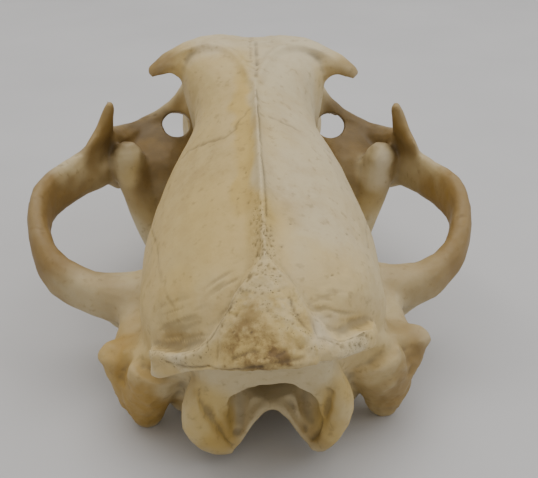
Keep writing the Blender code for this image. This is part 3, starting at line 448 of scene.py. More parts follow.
class Relief:
    """What is carved: heights in mm at the skin's points, and the masks that materials read."""

    def __init__(self, where, sizes):
        self.where, self.sizes = where, sizes
        _, self.forward, self.up = where.T
        self.tooth = ramp(-self.up, *TOOTH_DOWN) * ramp(self.forward, *TOOTH_FORWARD)
        self.calm = 1.0 - self.tooth
        self.height = -sizes.tooth_sink / MM * self.tooth
        self.masks = {name: np.zeros(len(where)) for name in ("seam", "rough", "crack", "comb")}
        # small bends that keep drawn lines from looking ruled
        self.astray = np.stack([grain(where, 2.2, seed) for seed in (11, 12, 13)], axis=1) * 0.9

    def mark(self, name, values):
        """Add marks to a mask where they are stronger than what is there."""
        self.masks[name] = np.maximum(self.masks[name], values)

    def seams(self, tree):
        """The sutures, wandering a little and worn away in places."""
        worn = ramp(grain(self.where, 9.0, 14), -0.75, 0.1)
        for way, both, width, depth, spots in SEAMS:
            line = on_skin(tree, way, spots)
            if len(line) < 2:
                raise RuntimeError(f"a seam seen from {way} misses the skull")
            for mirror in ((1.0, -1.0) if both else (1.0,)):
                there = line * (mirror, 1.0, 1.0)
                gap = near_line(self.where + self.astray, there, reach=4.0)
                seam = bell(gap, width * self.sizes.seam_width / MM) * worn
                self.mark("seam", seam)
                self.height -= depth * self.sizes.seam_depth / MM * seam

    def rims(self):
        """The lumpy rims of the nape, the hollows in front of them and the split of the crest."""
        behind = ramp(-self.forward, *RIM_END)
        ahead = ramp(along_face(self.where), *FACE_AHEAD) * behind
        bead, bead_width = RIM_BEAD
        hollow, away, hollow_width = RIM_HOLLOW
        for spots in (RIM_LEFT, RIM_RIGHT):
            gap = near_line(self.where, eased(spots, 40), reach=14.0)
            self.mark("rough", bell(gap, RIM_ROUGH))
            self.height += bead * bell(gap, bead_width) * behind
            self.height -= hollow * bell(gap - away, hollow_width) * ahead
        gap = near_line(self.where, eased(CREST_SPLIT, 12), reach=9.0)
        self.mark("rough", bell(gap, SPLIT_ROUGH))
        self.height += (self.sizes.rough_height / MM * self.masks["rough"]
                        * waves(self.where, RIM_LUMPS))

    def nape_face(self):
        """The granular face between the two rims."""
        inside = ramp(-along_face(self.where), *FACE_INSIDE)
        self.masks["face"] = around(self.where, *NAPE_FACE) * inside
        self.height += self.masks["face"] * waves(self.where, FACE_LUMPS)

    def ears(self):
        """The crumbly bone behind the ears."""
        (side, *rest), radii = EAR_REGION
        crumbs = waves(self.where, CRUMBS)
        for hand in (1, -1):
            self.height += around(self.where, (hand * side, *rest), radii) * self.calm * crumbs

    def scratches(self):
        """Scratched flanks where the neck muscles held on."""
        for centre, radii, way, seed in COMBS:
            turned = self.where @ np.array(Vector(way).to_track_quat('X', 'Z').to_matrix())
            stripes = ramp(grain(turned * (0.05, 1.0, 1.0), 0.85, seed), 0.05, 0.5)
            self.mark("comb", around(self.where, centre, radii) * stripes)
        self.height -= SCRATCH_DEPTH * self.masks["comb"]

    def cracks(self):
        """Fine dark cracks, broken off here and there."""
        alive = ramp(grain(self.where, 3.5, 27), -0.7, -0.1)
        for width, depth, spots in CRACKS:
            line = eased(spots, 8 * len(spots))
            gap = near_line(self.where + 0.35 * self.astray, line, reach=3.0)
            crack = bell(gap, width) * alive
            self.mark("crack", crack)
            self.height -= depth * crack

    def condyle_lips(self):
        """The groove inside each condyle's edge, which makes the edge crisp."""
        depth, width = LIP_GROOVE
        for spots in (LIP_LEFT, LIP_RIGHT):
            gap = near_line(self.where, eased(spots, 40), reach=6.0)
            lip = around(self.where, spots[3], LIP_REACH)
            self.height -= depth * bell(gap, width) * ramp(lip, 0.0, 0.2)

    def pores(self):
        """Pits and pores, thickest at the apex of the nape and along its rims."""
        where, draw = self.where, np.random.default_rng(5)
        pores = self.masks["pores"] = np.zeros(len(where))
        chance = (RIM_PORES * self.masks["rough"] ** 2 + APEX_PORES * around(where, *APEX) ** 2
                  + FACE_PORES * self.masks["face"] + VAULT_PORES * ramp(self.up, 55.0, 75.0)
                  * ramp(-self.forward, -70.0, -10.0)) * self.calm
        for spot in draw.choice(len(where), PORES, replace=False, p=chance / chance.sum()):
            radius = draw.uniform(*PORE_RADIUS)
            near = np.flatnonzero((np.abs(where - where[spot]) < 2.5 * radius).all(1))
            pore = np.exp(-((where[near] - where[spot]) ** 2).sum(1) / radius ** 2)
            pores[near] = np.maximum(pores[near], pore)
            self.height[near] -= self.sizes.pore_depth / MM * pore * draw.uniform(0.5, 1.0)


def carve(skin, sizes):
    """Ease the skin and carve it. Returns the masks that the materials read."""
    relief = Relief(measures(skin.points), sizes)
    healed = near_cuts(relief.where)[:, None]
    for _ in range(sizes.healing):
        skin.ease(0.5 * healed)
    skin.relax(sizes.easing, hold=0.6 * relief.tooth)
    skin.points -= skin.normals() * sizes.heal
    relief.height += relief.calm * waves(relief.where, LOW_WAVES)
    relief.seams(skin.tree)
    relief.rims()
    relief.nape_face()
    relief.ears()
    relief.scratches()
    relief.cracks()
    relief.condyle_lips()
    relief.pores()
    skin.push(relief.height)
    return relief.masks


# where the bone has yellowed or paled, by tint: centre, radii, strength; some umber and pale
# patches are painted shade and painted light, as noted below
PATCHES = {
    "warm": (
        ((22, 58, 66), (38, 66, 44), 1.0), ((-22, 60, 66), (30, 56, 36), 0.3),
        ((-18, 14, 64), (16, 22, 18), 0.7), ((6, 24, 74), (22, 34, 22), 0.9),
        ((14, 104, 76), (24, 34, 26), 0.7), ((12, 130, 76), (24, 30, 24), 0.4),
        ((33, 25, 45), (22, 26, 26), 1.0), ((-33, 20, 42), (20, 26, 24), 0.6),
        ((0, -6, 62), (32, 18, 20), 0.7), ((29, 6, 50), (14, 14, 12), 1.0),
        ((-29, 8, 52), (14, 14, 12), 1.0), ((34, 116, 72), (20, 20, 18), 1.0),
        ((-34, 115, 70), (16, 20, 16), 0.7), ((0, 160, 30), (60, 60, 50), 0.6),
        ((0, 14, 77), (10, 12, 6), 0.5)),
    "gold": (
        ((3.5, 62, 80), (7, 66, 10), 1.2), ((12, 30, 72), (22, 34, 18), 0.35),
        ((22, 14, 62), (14, 14, 14), 0.55), ((17, -2, 61), (10, 10, 10), 0.5),
        ((18, 3, 25), (12, 14, 20), 0.8), ((-20, 3, 25), (12, 14, 20), 0.9),
        ((-34, 16, 14), (14, 16, 20), 0.45), ((36, 120, 74), (14, 16, 12), 0.5),
        ((44, 110, 28), (12, 14, 20), 0.5), ((-43, 108, 22), (12, 14, 18), 0.5),
        ((46, 24, 28), (14, 16, 14), 0.6), ((-18, 3, 30), (9, 10, 14), 0.6),
        ((13, 0, 16), (10, 10, 11), 1.0), ((2, -7, 66), (16, 14, 10), 0.8)),
    "ochre": (
        ((44, 25, 22), (20, 24, 22), 0.95), ((37, 15, 18), (16, 17, 22), 1.0),
        ((-42, 24, 12), (18, 22, 18), 0.25), ((14, 1, 15), (10, 10, 11), 0.4),
        ((-15, 1, 14), (9, 9, 9), 0.5), ((50, 117, 54), (12, 16, 18), 0.5),
        ((-50, 117, 54), (12, 14, 16), 0.35), ((27, 130, 46), (12, 14, 16), 0.55),
        ((0, 60, 12), (40, 70, 20), 0.5), ((0, 160, 0), (50, 70, 22), 0.45),
        ((36, 118, 72), (9, 9, 7), 0.5), ((-66, 92, 34), (12, 18, 12), 0.4),
        ((0, 182, 30), (12, 24, 20), 0.6), ((-20, 0, 28), (9, 10, 12), 0.3)),
    "olive": (
        ((68, 76, 36), (26, 50, 36), 1.0), ((-68, 76, 36), (26, 50, 36), 1.0),
        ((40, 122, 34), (30, 30, 30), 1.0), ((-40, 122, 34), (30, 30, 30), 0.95),
        ((28, 96, 42), (12, 26, 24), 0.7), ((-28, 96, 42), (12, 26, 24), 0.7),
        ((0, 14, 30), (13, 18, 14), 0.35), ((50, 48, 34), (18, 20, 18), 0.45),
        ((-50, 48, 34), (18, 20, 18), 0.5), ((-42, 22, 22), (18, 22, 24), 0.9),
        ((54, 120, 50), (10, 20, 26), 0.8), ((-54, 120, 50), (10, 20, 26), 0.8),
        ((36, 117, 74), (15, 14, 12), 1.0), ((-37, 116, 71), (11, 12, 10), 0.6)),
    # umber is partly the bone's own dark brown and partly painted shade deep in the eye sockets,
    # behind the cheeks and inside the muzzle
    "umber": (
        ((40, 135, 38), (20, 12, 16), 0.9), ((-41, 134, 36), (20, 12, 16), 0.85),
        ((38, 120, 33), (13, 14, 14), 0.5), ((-38, 120, 31), (12, 13, 14), 0.35),
        ((33, 106, 26), (10, 16, 22), 0.35), ((-33, 106, 26), (10, 16, 22), 0.25),
        ((52, 124, 40), (9, 12, 14), 0.6), ((-52, 124, 38), (9, 12, 14), 0.5),
        ((0, 170, 28), (13, 26, 20), 0.9)),
    "stain": (
        ((2, -8, 66), (15, 12, 9), 1.0), ((-1, -12, 63), (12, 8, 6), 0.9),
        ((3, -4, 70), (11, 8, 8), 0.7), ((14, 60, 70), (14, 18, 14), 0.16),
        ((-12, 40, 76), (14, 18, 12), 0.12)),
    "pale": (
        # the first two patches paint light into the hollow inside the great opening between the
        # condyles
        ((7, 11, 18), (8, 8, 9), 0.3), ((-7, 11, 21), (8, 8, 9), 0.3),
        ((-13, -6, 64), (9, 9, 8), 0.5), ((48, 113, 38), (8, 8, 10), 0.3),
        ((-47, 112, 36), (8, 8, 10), 0.3), ((-46, 111, 30), (9, 9, 14), 0.9),
        ((-18, 60, 70), (24, 56, 30), 0.45), ((-14, 112, 76), (22, 26, 16), 0.55),
        ((14, 126, 78), (14, 18, 14), 0.5), ((0, 134, 74), (30, 30, 20), 0.5),
        ((-16, -3, 62), (10, 10, 8), 0.5)),
    "clear": (
        ((47, 112, 36), (10, 13, 17), 1.0), ((-46, 111, 34), (10, 13, 17), 1.0),
        ((50, 26, 27), (14, 16, 16), 0.3), ((0, 8, 38), (9, 10, 9), 1.0),
        ((60, 50, 30), (14, 12, 14), 0.6), ((61, 103, 45), (11, 14, 10), 0.75),
        ((-60, 102, 42), (11, 14, 10), 0.65), ((-38, 116, 34), (12, 10, 12), 0.2)),
}

# how dirty each kind of mark is; the darkness of the first two cracks also paints shade under the
# lower edge of the nape's face
DIRTY = {"seam": 0.65, "crack": 0.9, "pores": 0.8, "comb": 0.45}
# the painted shade that hollows take on, and how far ridges are worn bare, small forms first: from
# and to in mm, and share
HOLLOW_SHADE = ((0.05, 0.30, 0.6), (0.9, 3.6, 0.22))
BARE = ((0.03, 0.2, 0.5), (0.3, 2.0, 0.5))
# rounds of easing that tell small hollows and large hollows from their surroundings
HOLLOW_ROUNDS = (5, 60)


def shares(depths, rows):
    """How far each kind of hollow counts, added up."""
    return np.clip(sum(ramp(depth, low, high) * share
                       for depth, (low, high, share) in zip(depths, rows)), 0.0, 1.0)


def paint(skin, masks):
    """Give the skin its masks: how each tint lies on it, where it is dirty or porous, and where
    its hollows take painted shade.
    """
    where = measures(skin.points)
    spread = where + np.stack([layered(where, 14.0, seed) for seed in (31, 35, 39)], axis=1) * 5.0
    tints = {}
    for name, patches in PATCHES.items():
        free = np.ones(len(where))
        for centre, radii, strength in patches:
            free *= 1.0 - np.clip(strength * around(spread, centre, radii), 0.0, 1.0)
        tints[name] = 1.0 - free
    for name in ("olive", "umber", "ochre"):
        tints[name] *= 1.0 - tints["clear"]
    depths = [skin.hollows(rounds) for rounds in HOLLOW_ROUNDS]
    # painted shade in the hollows, with the dirt of the marks laid over it
    dirt_and_shade = shares(depths, HOLLOW_SHADE)
    for name, share in DIRTY.items():
        dirt_and_shade = np.maximum(dirt_and_shade, masks[name] * share)
    bare = shares([-depth for depth in depths], BARE)
    mesh = skin.thing.data
    add_mask(mesh, "tint", *(tints[name] for name in ("warm", "gold", "ochre", "olive")))
    add_mask(mesh, "tint_deep", tints["umber"], tints["pale"], tints["stain"], masks["face"])
    # the first channel of the next mask holds the dirt of the marks and the painted shade of the
    # hollows
    # no material reads the last one, but it tells mend() which corners are new
    add_mask(mesh, "wear", dirt_and_shade, masks["rough"], bare, masks["comb"])


def slab(middle, size, yaw, tilt):
    """A thin box that parts two bones, turned by yaw in plan or by tilt in side view."""
    shape = bmesh.new()
    made_cube = bmesh.ops.create_cube(shape, size=MM)
    turn = Matrix.Rotation(radians(yaw), 4, 'Z') @ Matrix.Rotation(radians(tilt), 4, 'X')
    spot = Matrix.Translation(Vector((middle[0], -middle[1], middle[2])) * MM)
    matrix = POSE @ spot @ turn @ Matrix.Diagonal((*size, 1.0))
    bmesh.ops.transform(shape, matrix=matrix, verts=made_cube["verts"])
    return as_object(shape, "slab")


def saws():
    """Middle, size, yaw and tilt of every cut, as in the solids but a hair wide."""
    hair = bpy.context.scene.skull_sizes.hair / MM
    cuts = [((0.0, 20.0, 41.0), (130.0, hair, 150.0), 0.0, 12.4),
            ((0.0, 150.0, 40.0), (90.0, hair, 110.0), 0.0, 0.0),
            ((0.0, 123.5, 45.0), (88.0, 53.2, hair), 0.0, 0.0),
            ((0.0, 97.0, 45.0), (92.0, hair, 110.0), 0.0, 0.0),
            ((0.0, 82.5, 26.0), (92.0, 29.2, hair), 0.0, 0.0),
            ((0.0, 40.0, 26.0), (26.4, 56.4, hair), 0.0, 0.0)]
    for hand in (-1, 1):
        cuts += [((hand * 13.0, 40.0, 11.0), (hair, 56.4, 51.4), 0.0, 0.0),
                 ((hand * 32.2, 40.0, 36.5), (38.7, 56.4, hair), 0.0, 0.0),
                 ((hand * 32.2, 68.0, 11.0), (38.7, hair, 51.3), 0.0, 0.0),
                 ((hand * 51.4, 75.0, 40.0), (hair, 78.0, 110.0), 0.0, 0.0),
                 ((hand * 61.5, 119.0, 40.0), (23.0, hair, 110.0), hand * -26.5, 0.0)]
    return cuts


def combine(thing, other, operation):
    """Join an object with another, or cut it with that, and use the other up."""
    boolean = thing.modifiers.new("Combine", 'BOOLEAN')
    boolean.operation, boolean.object, boolean.solver = operation, other, 'MANIFOLD'
    settle(thing)
    bpy.data.objects.remove(other)


def split_bones(skin):
    """Part the skin into one closed object for each bone."""
    outward = skin.normals()
    layer = skin.thing.data.attributes.new("outward", 'FLOAT_VECTOR', 'POINT')
    write(layer.data, "vector", outward)
    first, *others = [slab(*cut) for cut in saws()]
    for other in others:
        combine(first, other, 'UNION')
    combine(skin.thing, first, 'DIFFERENCE')
    for thing in bpy.context.scene.objects:
        thing.select_set(thing is skin.thing)
    bpy.context.view_layer.objects.active = skin.thing
    bpy.ops.object.mode_set(mode='EDIT')
    bpy.ops.mesh.select_all(action='SELECT')
    bpy.ops.mesh.separate(type='LOOSE')
    bpy.ops.object.mode_set(mode='OBJECT')
    bodies = [o for o in bpy.context.scene.objects if o.name.startswith("whole_bone")]
    bodies.sort(key=lambda thing: -len(thing.data.vertices))
    parts = {}
    for thing in bodies:
        step = max(1, len(thing.data.vertices) // VOTES)
        votes = [skin.owners[skin.tree.find_nearest(vert.co)[2]]
                 for vert in list(thing.data.vertices)[::step]]
        name = BONES[int(np.bincount(votes).argmax())]
        parts.setdefault(name, []).append(thing)
    return {name: one_piece(things, name) for name, things in parts.items()}


def mend(mesh):
    """Give the corners that the saws made their neighbours' masks and way out."""
    first, second = read(mesh.edges, "vertices", 2, int).T
    values = {name: read(mesh.attributes[name].data, kind, width, np.float32)
              for name, kind, width in MASKS}
    fresh = values["wear"].min(1) > SAWN
    for _ in range(MENDING):
        sound = (~fresh).astype(float)
        ties = gathered(sound, first, second)
        ready = fresh & (ties > 0)
        for rows in values.values():
            for axis in range(rows.shape[1]):
                total = gathered(rows[:, axis] * sound, first, second)
                rows[ready, axis] = total[ready] / ties[ready]
        fresh &= ~ready
    for name, kind, _ in MASKS:
        write(mesh.attributes[name].data, kind, values[name])


def one_piece(things, name):
    """The bodies of one bone as one object, shaded as the whole skin but for its cut faces."""
    shape = bmesh.new()
    for thing in things:
        shape.from_mesh(thing.data)
    piece = things[0]
    shape.to_mesh(piece.data)
    shape.free()
    for thing in things[1:]:
        bpy.data.objects.remove(thing)
    mesh = piece.data
    mend(mesh)
    mesh.shade_smooth()
    corners = read(mesh.loops, "vertex_index", kind=int)
    out = read(mesh.attributes["outward"].data, "vector", 3, np.float32)[corners]
    faces = read(mesh.polygon_normals, "vector", 3, np.float32)
    flat = np.repeat(faces, read(mesh.polygons, "loop_total", kind=int), axis=0)
    inner = (out * flat).sum(1) < CUT_FACE
    out[inner] = flat[inner]
    mesh.normals_split_custom_set(out)
    mesh.attributes.remove(mesh.attributes["outward"])
    piece.name = mesh.name = "bone_" + name
    return piece


def bone_parts():
    """The carved bones by node name, made once for all the operators."""
    if "parts" not in made:
        sizes = bpy.context.scene.skull_sizes
        shape, owners = joined_bones(sizes)
        tree = BVHTree.FromBMesh(shape)
        whole = as_object(shape, "whole_bone")
        remesh(whole, sizes.voxel)
        skin = Skin(whole, tree, owners)
        paint(skin, carve(skin, sizes))
        made["parts"] = split_bones(skin)
    return made["parts"]


# materials

# the range that most of a noise's values lie in
MOST = (0.3, 0.7)


class Board:
    """A material's nodes, with short ways to add and join them."""

    def __init__(self, name):
        self.material = bpy.data.materials.new(name)
        self.material.use_nodes = True
        self.tree = self.material.node_tree
        self.surface = self.tree.nodes["Principled BSDF"]
        self.where = self.add("TexCoord").outputs["Object"]

    def add(self, kind, inputs=(), **settings):
        """A new node with its settings, and its inputs set or joined."""
        fresh = self.tree.nodes.new("ShaderNode" + kind)
        for key, value in settings.items():
            setattr(fresh, key, value)
        for key, value in dict(inputs).items():
            self.give(fresh.inputs[key], value)
        return fresh

    def give(self, socket, value):
        """Join a socket to another node's, or set its value."""
        if isinstance(value, bpy.types.NodeSocket):
            self.tree.links.new(value, socket)
        else:
            socket.default_value = value

    def noise(self, size, detail=3.0, rough=0.55, where=None):
        """Noise whose lumps are about size mm across."""
        return self.add("TexNoise", {"Vector": where or self.where, "Scale": 0.5 / (size * MM),
                                     "Detail": detail, "Roughness": rough}).outputs["Fac"]

    def between(self, value, low, high, start=0.0, end=1.0):
        """Map a value from low..high to start..end, and stop at both ends."""
        return self.add("MapRange", {"Value": value, "From Min": low, "From Max": high,
                                     "To Min": start, "To Max": end}).outputs["Result"]

    def math(self, first, second, operation, clamp=False):
        """Two values joined by an operation."""
        return self.add("Math", {0: first, 1: second}, operation=operation,
                        use_clamp=clamp).outputs[0]

    def plus(self, first, second):
        """Two values added, and held between 0 and 1."""
        return self.math(first, second, 'ADD', clamp=True)

    def times(self, first, second):
        """Two values multiplied."""
        return self.math(first, second, 'MULTIPLY')

    def mix(self, colour, *coats):
        """A colour with others laid over it in turn, each by its share."""
        for share, shade in coats:
            laid = self.add("Mix", {0: share, 6: colour, 7: (*shade, 1.0)}, data_type='RGBA')
            colour = laid.outputs[2]
        return colour

    def layer(self, name):
        """The four channels of one of the piece's own masks."""
        found = self.add("Attribute", attribute_name=name, attribute_type='GEOMETRY')
        parts = self.add("SeparateColor", {"Color": found.outputs["Color"]})
        return [parts.outputs[0], parts.outputs[1], parts.outputs[2], found.outputs["Alpha"]]

    def finish(self, colour, gloss, height, depth, strength):
        """Give the surface its colour, its roughness and the relief of its bump."""
        self.give(self.surface.inputs["Base Color"], colour)
        self.give(self.surface.inputs["Roughness"], gloss)
        bump = self.add("Bump", {"Height": height, "Distance": depth, "Strength": strength})
        self.give(self.surface.inputs["Normal"], bump.outputs[0])
        return self.material


def bone_material(name):
    """Dry bone: pale where handled, yellowed by its fat, stained, with dirt in its marks and
    painted shade in its hollows.
    """
    tone = bpy.context.scene.skull_colours
    board = Board(name)
    warm, gold, ochre, olive = board.layer("tint")
    umber, pale, stain, face = board.layer("tint_deep")
    dirt_and_shade, rough, bare, _ = board.layer("wear")
    cloud, blotch = board.noise(16.0), board.noise(5.0, 4.0)
    speck, fine = board.noise(1.3, 2.0), board.noise(0.45, 2.0)
    mottle = board.noise(2.6, 5.0, 0.68)

    # the rough and granular places are chalky, and riddled with tiny holes in patches
    chalky = board.math(board.between(rough, 0.2, 0.8), board.times(face, 0.5), 'MAXIMUM')
    cells = board.add("TexVoronoi", {"Vector": board.where, "Scale": 1400.0}).outputs["Distance"]
    patchy = board.between(board.noise(1.8, 3.0), 0.45, 0.60)
    holes = board.times(board.times(board.between(cells, 0.30, 0.12), chalky), patchy)

    # the tints spread and thin out in clouds, then come the stains, the dirt of the marks with the
    # painted shade of the hollows, and the holes
    drift = board.between(cloud, *MOST, -0.12, 0.12)
    wander = board.between(blotch, *MOST, -0.06, 0.06)
    bleached = board.plus(pale, board.between(cloud, 0.35, 0.65, -0.4, 0.05))
    grainy = board.times(face, board.between(mottle, 0.44, 0.60, 0.10, 0.60))
    soiled = board.times(stain, board.between(mottle, 0.40, 0.58, 0.25, 0.95))
    colour = board.mix(
        (*tone.cream, 1.0), (board.plus(warm, drift), tone.warm),
        (board.plus(gold, wander), tone.gold), (board.plus(olive, wander), tone.olive),
        (board.plus(ochre, wander), tone.ochre), (board.plus(umber, wander), tone.umber),
        (bleached, tone.pale), (board.times(bare, 0.15), tone.pale),
        (board.times(rough, 0.08), tone.pale),
        (board.between(mottle, 0.46, 0.66, 0.0, 0.16), tone.ochre),
        # the dirt of the marks and the painted shade of the hollows are laid on at the end of the
        # next row
        (grainy, tone.gold), (soiled, tone.stain), (board.times(dirt_and_shade, 0.75), tone.dirt_and_shade),
        (board.between(speck, 0.61, 0.72, 0.0, 0.24), tone.umber),
        (board.times(holes, 0.75), tone.dirt_and_shade))
    gloss = board.plus(board.between(blotch, *MOST, 0.48, 0.62), board.times(chalky, 0.25))
    grit = board.plus(board.times(fine, 0.25), board.times(mottle, 0.5))
    relief = board.plus(board.times(speck, 0.2), board.times(fine, 0.15))
    relief = board.plus(relief, board.times(chalky, grit))
    relief = board.plus(relief, board.times(holes, -0.3))
    board.surface.inputs["Specular IOR Level"].default_value = 0.35
    return board.finish(colour, gloss, relief, depth=0.7 * MM, strength=0.6)


def enamel_material(name):
    """Ivory enamel, yellow towards the root, with fine cracks along the crown."""
    tone = bpy.context.scene.skull_colours
    board = Board(name)
    root = board.layer("tint")[0]
    cloud = board.noise(6.0)
    stretched = board.add("Mapping", {"Vector": board.where, "Scale": (1.0, 1.0, 0.08)})
    crack = board.noise(0.7, 2.0, where=stretched.outputs[0])
    thin = board.times(board.between(crack, 0.485, 0.5, 0.0, 0.35),
                       board.between(crack, 0.5, 0.515, 1.0, 0.0))
    colour = board.mix((*tone.enamel, 1.0), (board.between(cloud, *MOST, 0.0, 0.5), tone.cream),
                       (board.times(root, 0.75), tone.warm), (thin, tone.dirt_and_shade))
    gloss = board.between(cloud, *MOST, 0.28, 0.42)
    return board.finish(colour, gloss, crack, depth=0.1 * MM, strength=0.3)


def finish_piece(thing, slot, *nodes):
    """Set a finished piece on the one body and hide the nodes that it stands for. The slot is not
    used.
    """
    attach(thing, "root")
    if nodes:
        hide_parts(*nodes)


def bone_piece(name):
    """Finish one of the carved bones."""
    thing = bone_parts()[name]
    thing.data.materials.clear()
    thing.data.materials.append(bone_material(name + "_bone"))
    finish_piece(thing, name, name)


def draw_out(shape, edges):
    """Draw open edges out to new corners. Returns the new corners and the new open edges."""
    drawn = bmesh.ops.extrude_edge_only(shape, edges=edges)["geom"]
    return ([item for item in drawn if isinstance(item, bmesh.types.BMVert)],
            [item for item in drawn if isinstance(item, bmesh.types.BMEdge)])


def spot_key(vert):
    """A corner's place, as a key that a corner drawn out of it shares."""
    return tuple(round(value, 7) for value in vert.co)


# part of the height and share of the full girth of each ring of a cusp, from root to tip
CUSP_STEPS = ((-0.3, 0.40), (0.0, 0.78), (0.13, 0.98), (0.3, 0.88), (0.6, 0.58), (0.85, 0.28),
              (1.0, 0.08))
CUSP_SIDES = 20
# how far above the sockets' rim a crown begins, in mm
CROWN = 2.0


def tooth_cusp(shape, side, forward, length, width, height, back=0.0):
    """One pointed cusp, from an oval ring drawn out in steps."""
    ring = bmesh.ops.create_circle(shape, cap_ends=False, segments=CUSP_SIDES, radius=1.0)["verts"]
    flat = [vert.co.copy() for vert in ring]
    edges = first = list({edge for vert in ring for edge in vert.link_edges})
    for part, size in CUSP_STEPS:
        if part != CUSP_STEPS[0][0]:
            order = {spot_key(old): at for at, old in enumerate(ring)}
            ring, edges = draw_out(shape, edges)
            ring.sort(key=lambda vert: order[spot_key(vert)])
        for vert, spot in zip(ring, flat):
            vert.co = place(side + width / 2 * size * spot.x,
                            forward - back * max(part, 0.0) + length / 2 * size * spot.y,
                            CROWN - (height + CROWN) * part)
    bmesh.ops.contextual_create(shape, geom=edges)
    bmesh.ops.contextual_create(shape, geom=first)


# side, forward, length, width, height and backward lean of each cusp
CHEEK_CUSPS = ((36.8, 131.5, 9.0, 7.5, 7.5, 0.0), (37.4, 124.0, 13.5, 9.0, 13.0, 1.5),
               (38.3, 114.5, 13.5, 6.5, 9.0, -1.5), (31.0, 130.5, 7.0, 7.5, 3.5, 0.0),
               (32.6, 146.0, 12.5, 8.0, 11.0, 1.0), (33.4, 139.5, 6.0, 6.5, 5.5, 0.0),
               (31.8, 152.5, 5.0, 5.0, 4.0, 0.0), (28.8, 161.0, 5.5, 4.5, 4.5, 0.0),
               (32.5, 107.5, 5.0, 8.0, 3.0, 0.0), (37.0, 119.0, 16.0, 6.5, 6.0, 0.0))
FRONT_CUSPS = ((3.1, 204.5, 6.0, 4.8, 7.5, 1.5), (8.4, 203.2, 6.5, 5.4, 8.5, 1.5),
               (14.4, 199.5, 8.5, 7.0, 12.5, 1.5))
# rounds that ease the enamel of the small teeth and of the canines
SMALL_EASING, CANINE_EASING = 6, 14
# the canines' grid is coarser than that of the small teeth
CANINE_GRID = 1.4
# the teeth are fluted along their height, which this stretches
FLUTE = (1.0, 1.0, 0.15)


def row_of_teeth(name, cusps, hand, slot):
    """Several cusps melted into teeth, with their enamel."""
    shape = bmesh.new()
    for side, *rest in cusps:
        tooth_cusp(shape, hand * side, *rest)
    bmesh.ops.recalc_face_normals(shape, faces=shape.faces)
    thing = as_object(shape, name)
    remesh(thing, bpy.context.scene.skull_sizes.tooth_voxel)
    dress_teeth(thing, SMALL_EASING)
    finish_piece(thing, slot)


def canine(name):
    """One long canine, drawn finer from its node."""
    shape = bmesh.new()
    shape.from_mesh(frame["nodes"][name].data)
    bmesh.ops.remove_doubles(shape, verts=shape.verts, dist=MERGE)
    thing = as_object(shape, name + "_tooth")
    remesh(thing, CANINE_GRID * bpy.context.scene.skull_sizes.tooth_voxel)
    dress_teeth(thing, CANINE_EASING)
    finish_piece(thing, name, name)


def dress_teeth(thing, rounds):
    """Ease a tooth's surface, flute it a little and give it enamel with a yellow root."""
    skin = Skin(thing)
    skin.relax(rounds)
    where = measures(skin.points)
    skin.push(0.04 * grain(where * FLUTE, 1.1, 41) + 0.05 * grain(where, 3.0, 42))
    where = measures(skin.points)
    root = ramp(where[:, 2] + grain(where, 2.0, 43), -1.0, 2.0)
    none = np.zeros_like(root)
    add_mask(thing.data, "tint", root, none, none, none)
    thing.data.shade_smooth()
    thing.data.materials.clear()
    thing.data.materials.append(enamel_material(thing.name + "_enamel"))


# the table, the lights and the camera

def camera_matrix(view):
    """Where the camera stands: its place and turn in the skull's own measures."""
    yaw, fall, roll = view.camera_yaw, view.camera_fall, view.camera_roll
    ahead = Vector((-sin(yaw) * cos(fall), -cos(yaw) * cos(fall), -sin(fall)))
    right = ahead.cross(Vector((0, 0, 1))).normalized()
    upward = right.cross(ahead)
    turned = right * cos(roll) + upward * sin(roll)
    raised = upward * cos(roll) - right * sin(roll)
    matrix = Matrix((turned, raised, -ahead)).transposed().to_4x4()
    matrix.translation = Vector(view.camera_place)
    return POSE @ matrix


# flat strips in the sweep between table and wall
SWEEP_STEPS = 12
# lamps: name, place, width, the setting that holds its power, colour
LAMPS = (("ceiling", (0.05, -0.15, 1.5), 1.6, "key_power", (1.0, 0.98, 0.95)),
         ("window", (-1.2, 0.2, 0.8), 1.0, "side_power", (0.86, 0.92, 1.0)))
LAMP_AIM = Vector((0.0, 0.0, 0.05))
AIR = (1.0, 0.97, 0.93, 1.0)


def backdrop(view):
    """A wide pale table that curves up into a wall far behind the skull."""
    shape = bmesh.new()
    start = shape.verts.new((-view.table_half, view.table_half, 0.0))
    end = shape.verts.new((view.table_half, view.table_half, 0.0))
    back = -view.table_half
    turns = [pi / 2 * step / SWEEP_STEPS for step in range(1, SWEEP_STEPS + 1)]
    path = [(back, 0.0), *((back - view.curve * sin(turn), view.curve * (1 - cos(turn)))
                           for turn in turns), (back - view.curve, view.wall_height)]
    edges = [shape.edges.new((start, end))]
    for deep, high in path:
        verts, edges = draw_out(shape, edges)
        for vert in verts:
            vert.co = Vector((vert.co.x, deep, high))
    bmesh.ops.recalc_face_normals(shape, faces=shape.faces)
    table = as_object(shape, "table")
    table.data.shade_smooth()
    tone = bpy.context.scene.skull_colours
    board = Board("table_paint")
    clouds = board.between(board.noise(60.0), *MOST)
    colour = board.mix((*tone.table, 1.0), (clouds, tone.table_shade))
    board.give(board.surface.inputs["Base Color"], colour)
    board.surface.inputs["Roughness"].default_value = 0.75
    table.data.materials.append(board.material)


def add_lamps(view):
    """The soft lamps, which all look at the skull, and the light of the room."""
    for name, spot, size, power, colour in LAMPS:
        data = bpy.data.lights.new(name, 'AREA')
        data.size, data.energy, data.color = size, getattr(view, power), colour
        lamp = show(name, data)
        lamp.location = spot
        lamp.rotation_euler = (LAMP_AIM - Vector(spot)).to_track_quat('-Z', 'Y').to_euler()
    world = bpy.data.worlds.new("room")
    world.use_nodes = True
    sky = world.node_tree.nodes["Background"]
    sky.inputs["Color"].default_value = AIR
    sky.inputs["Strength"].default_value = view.air
    bpy.context.scene.world = world


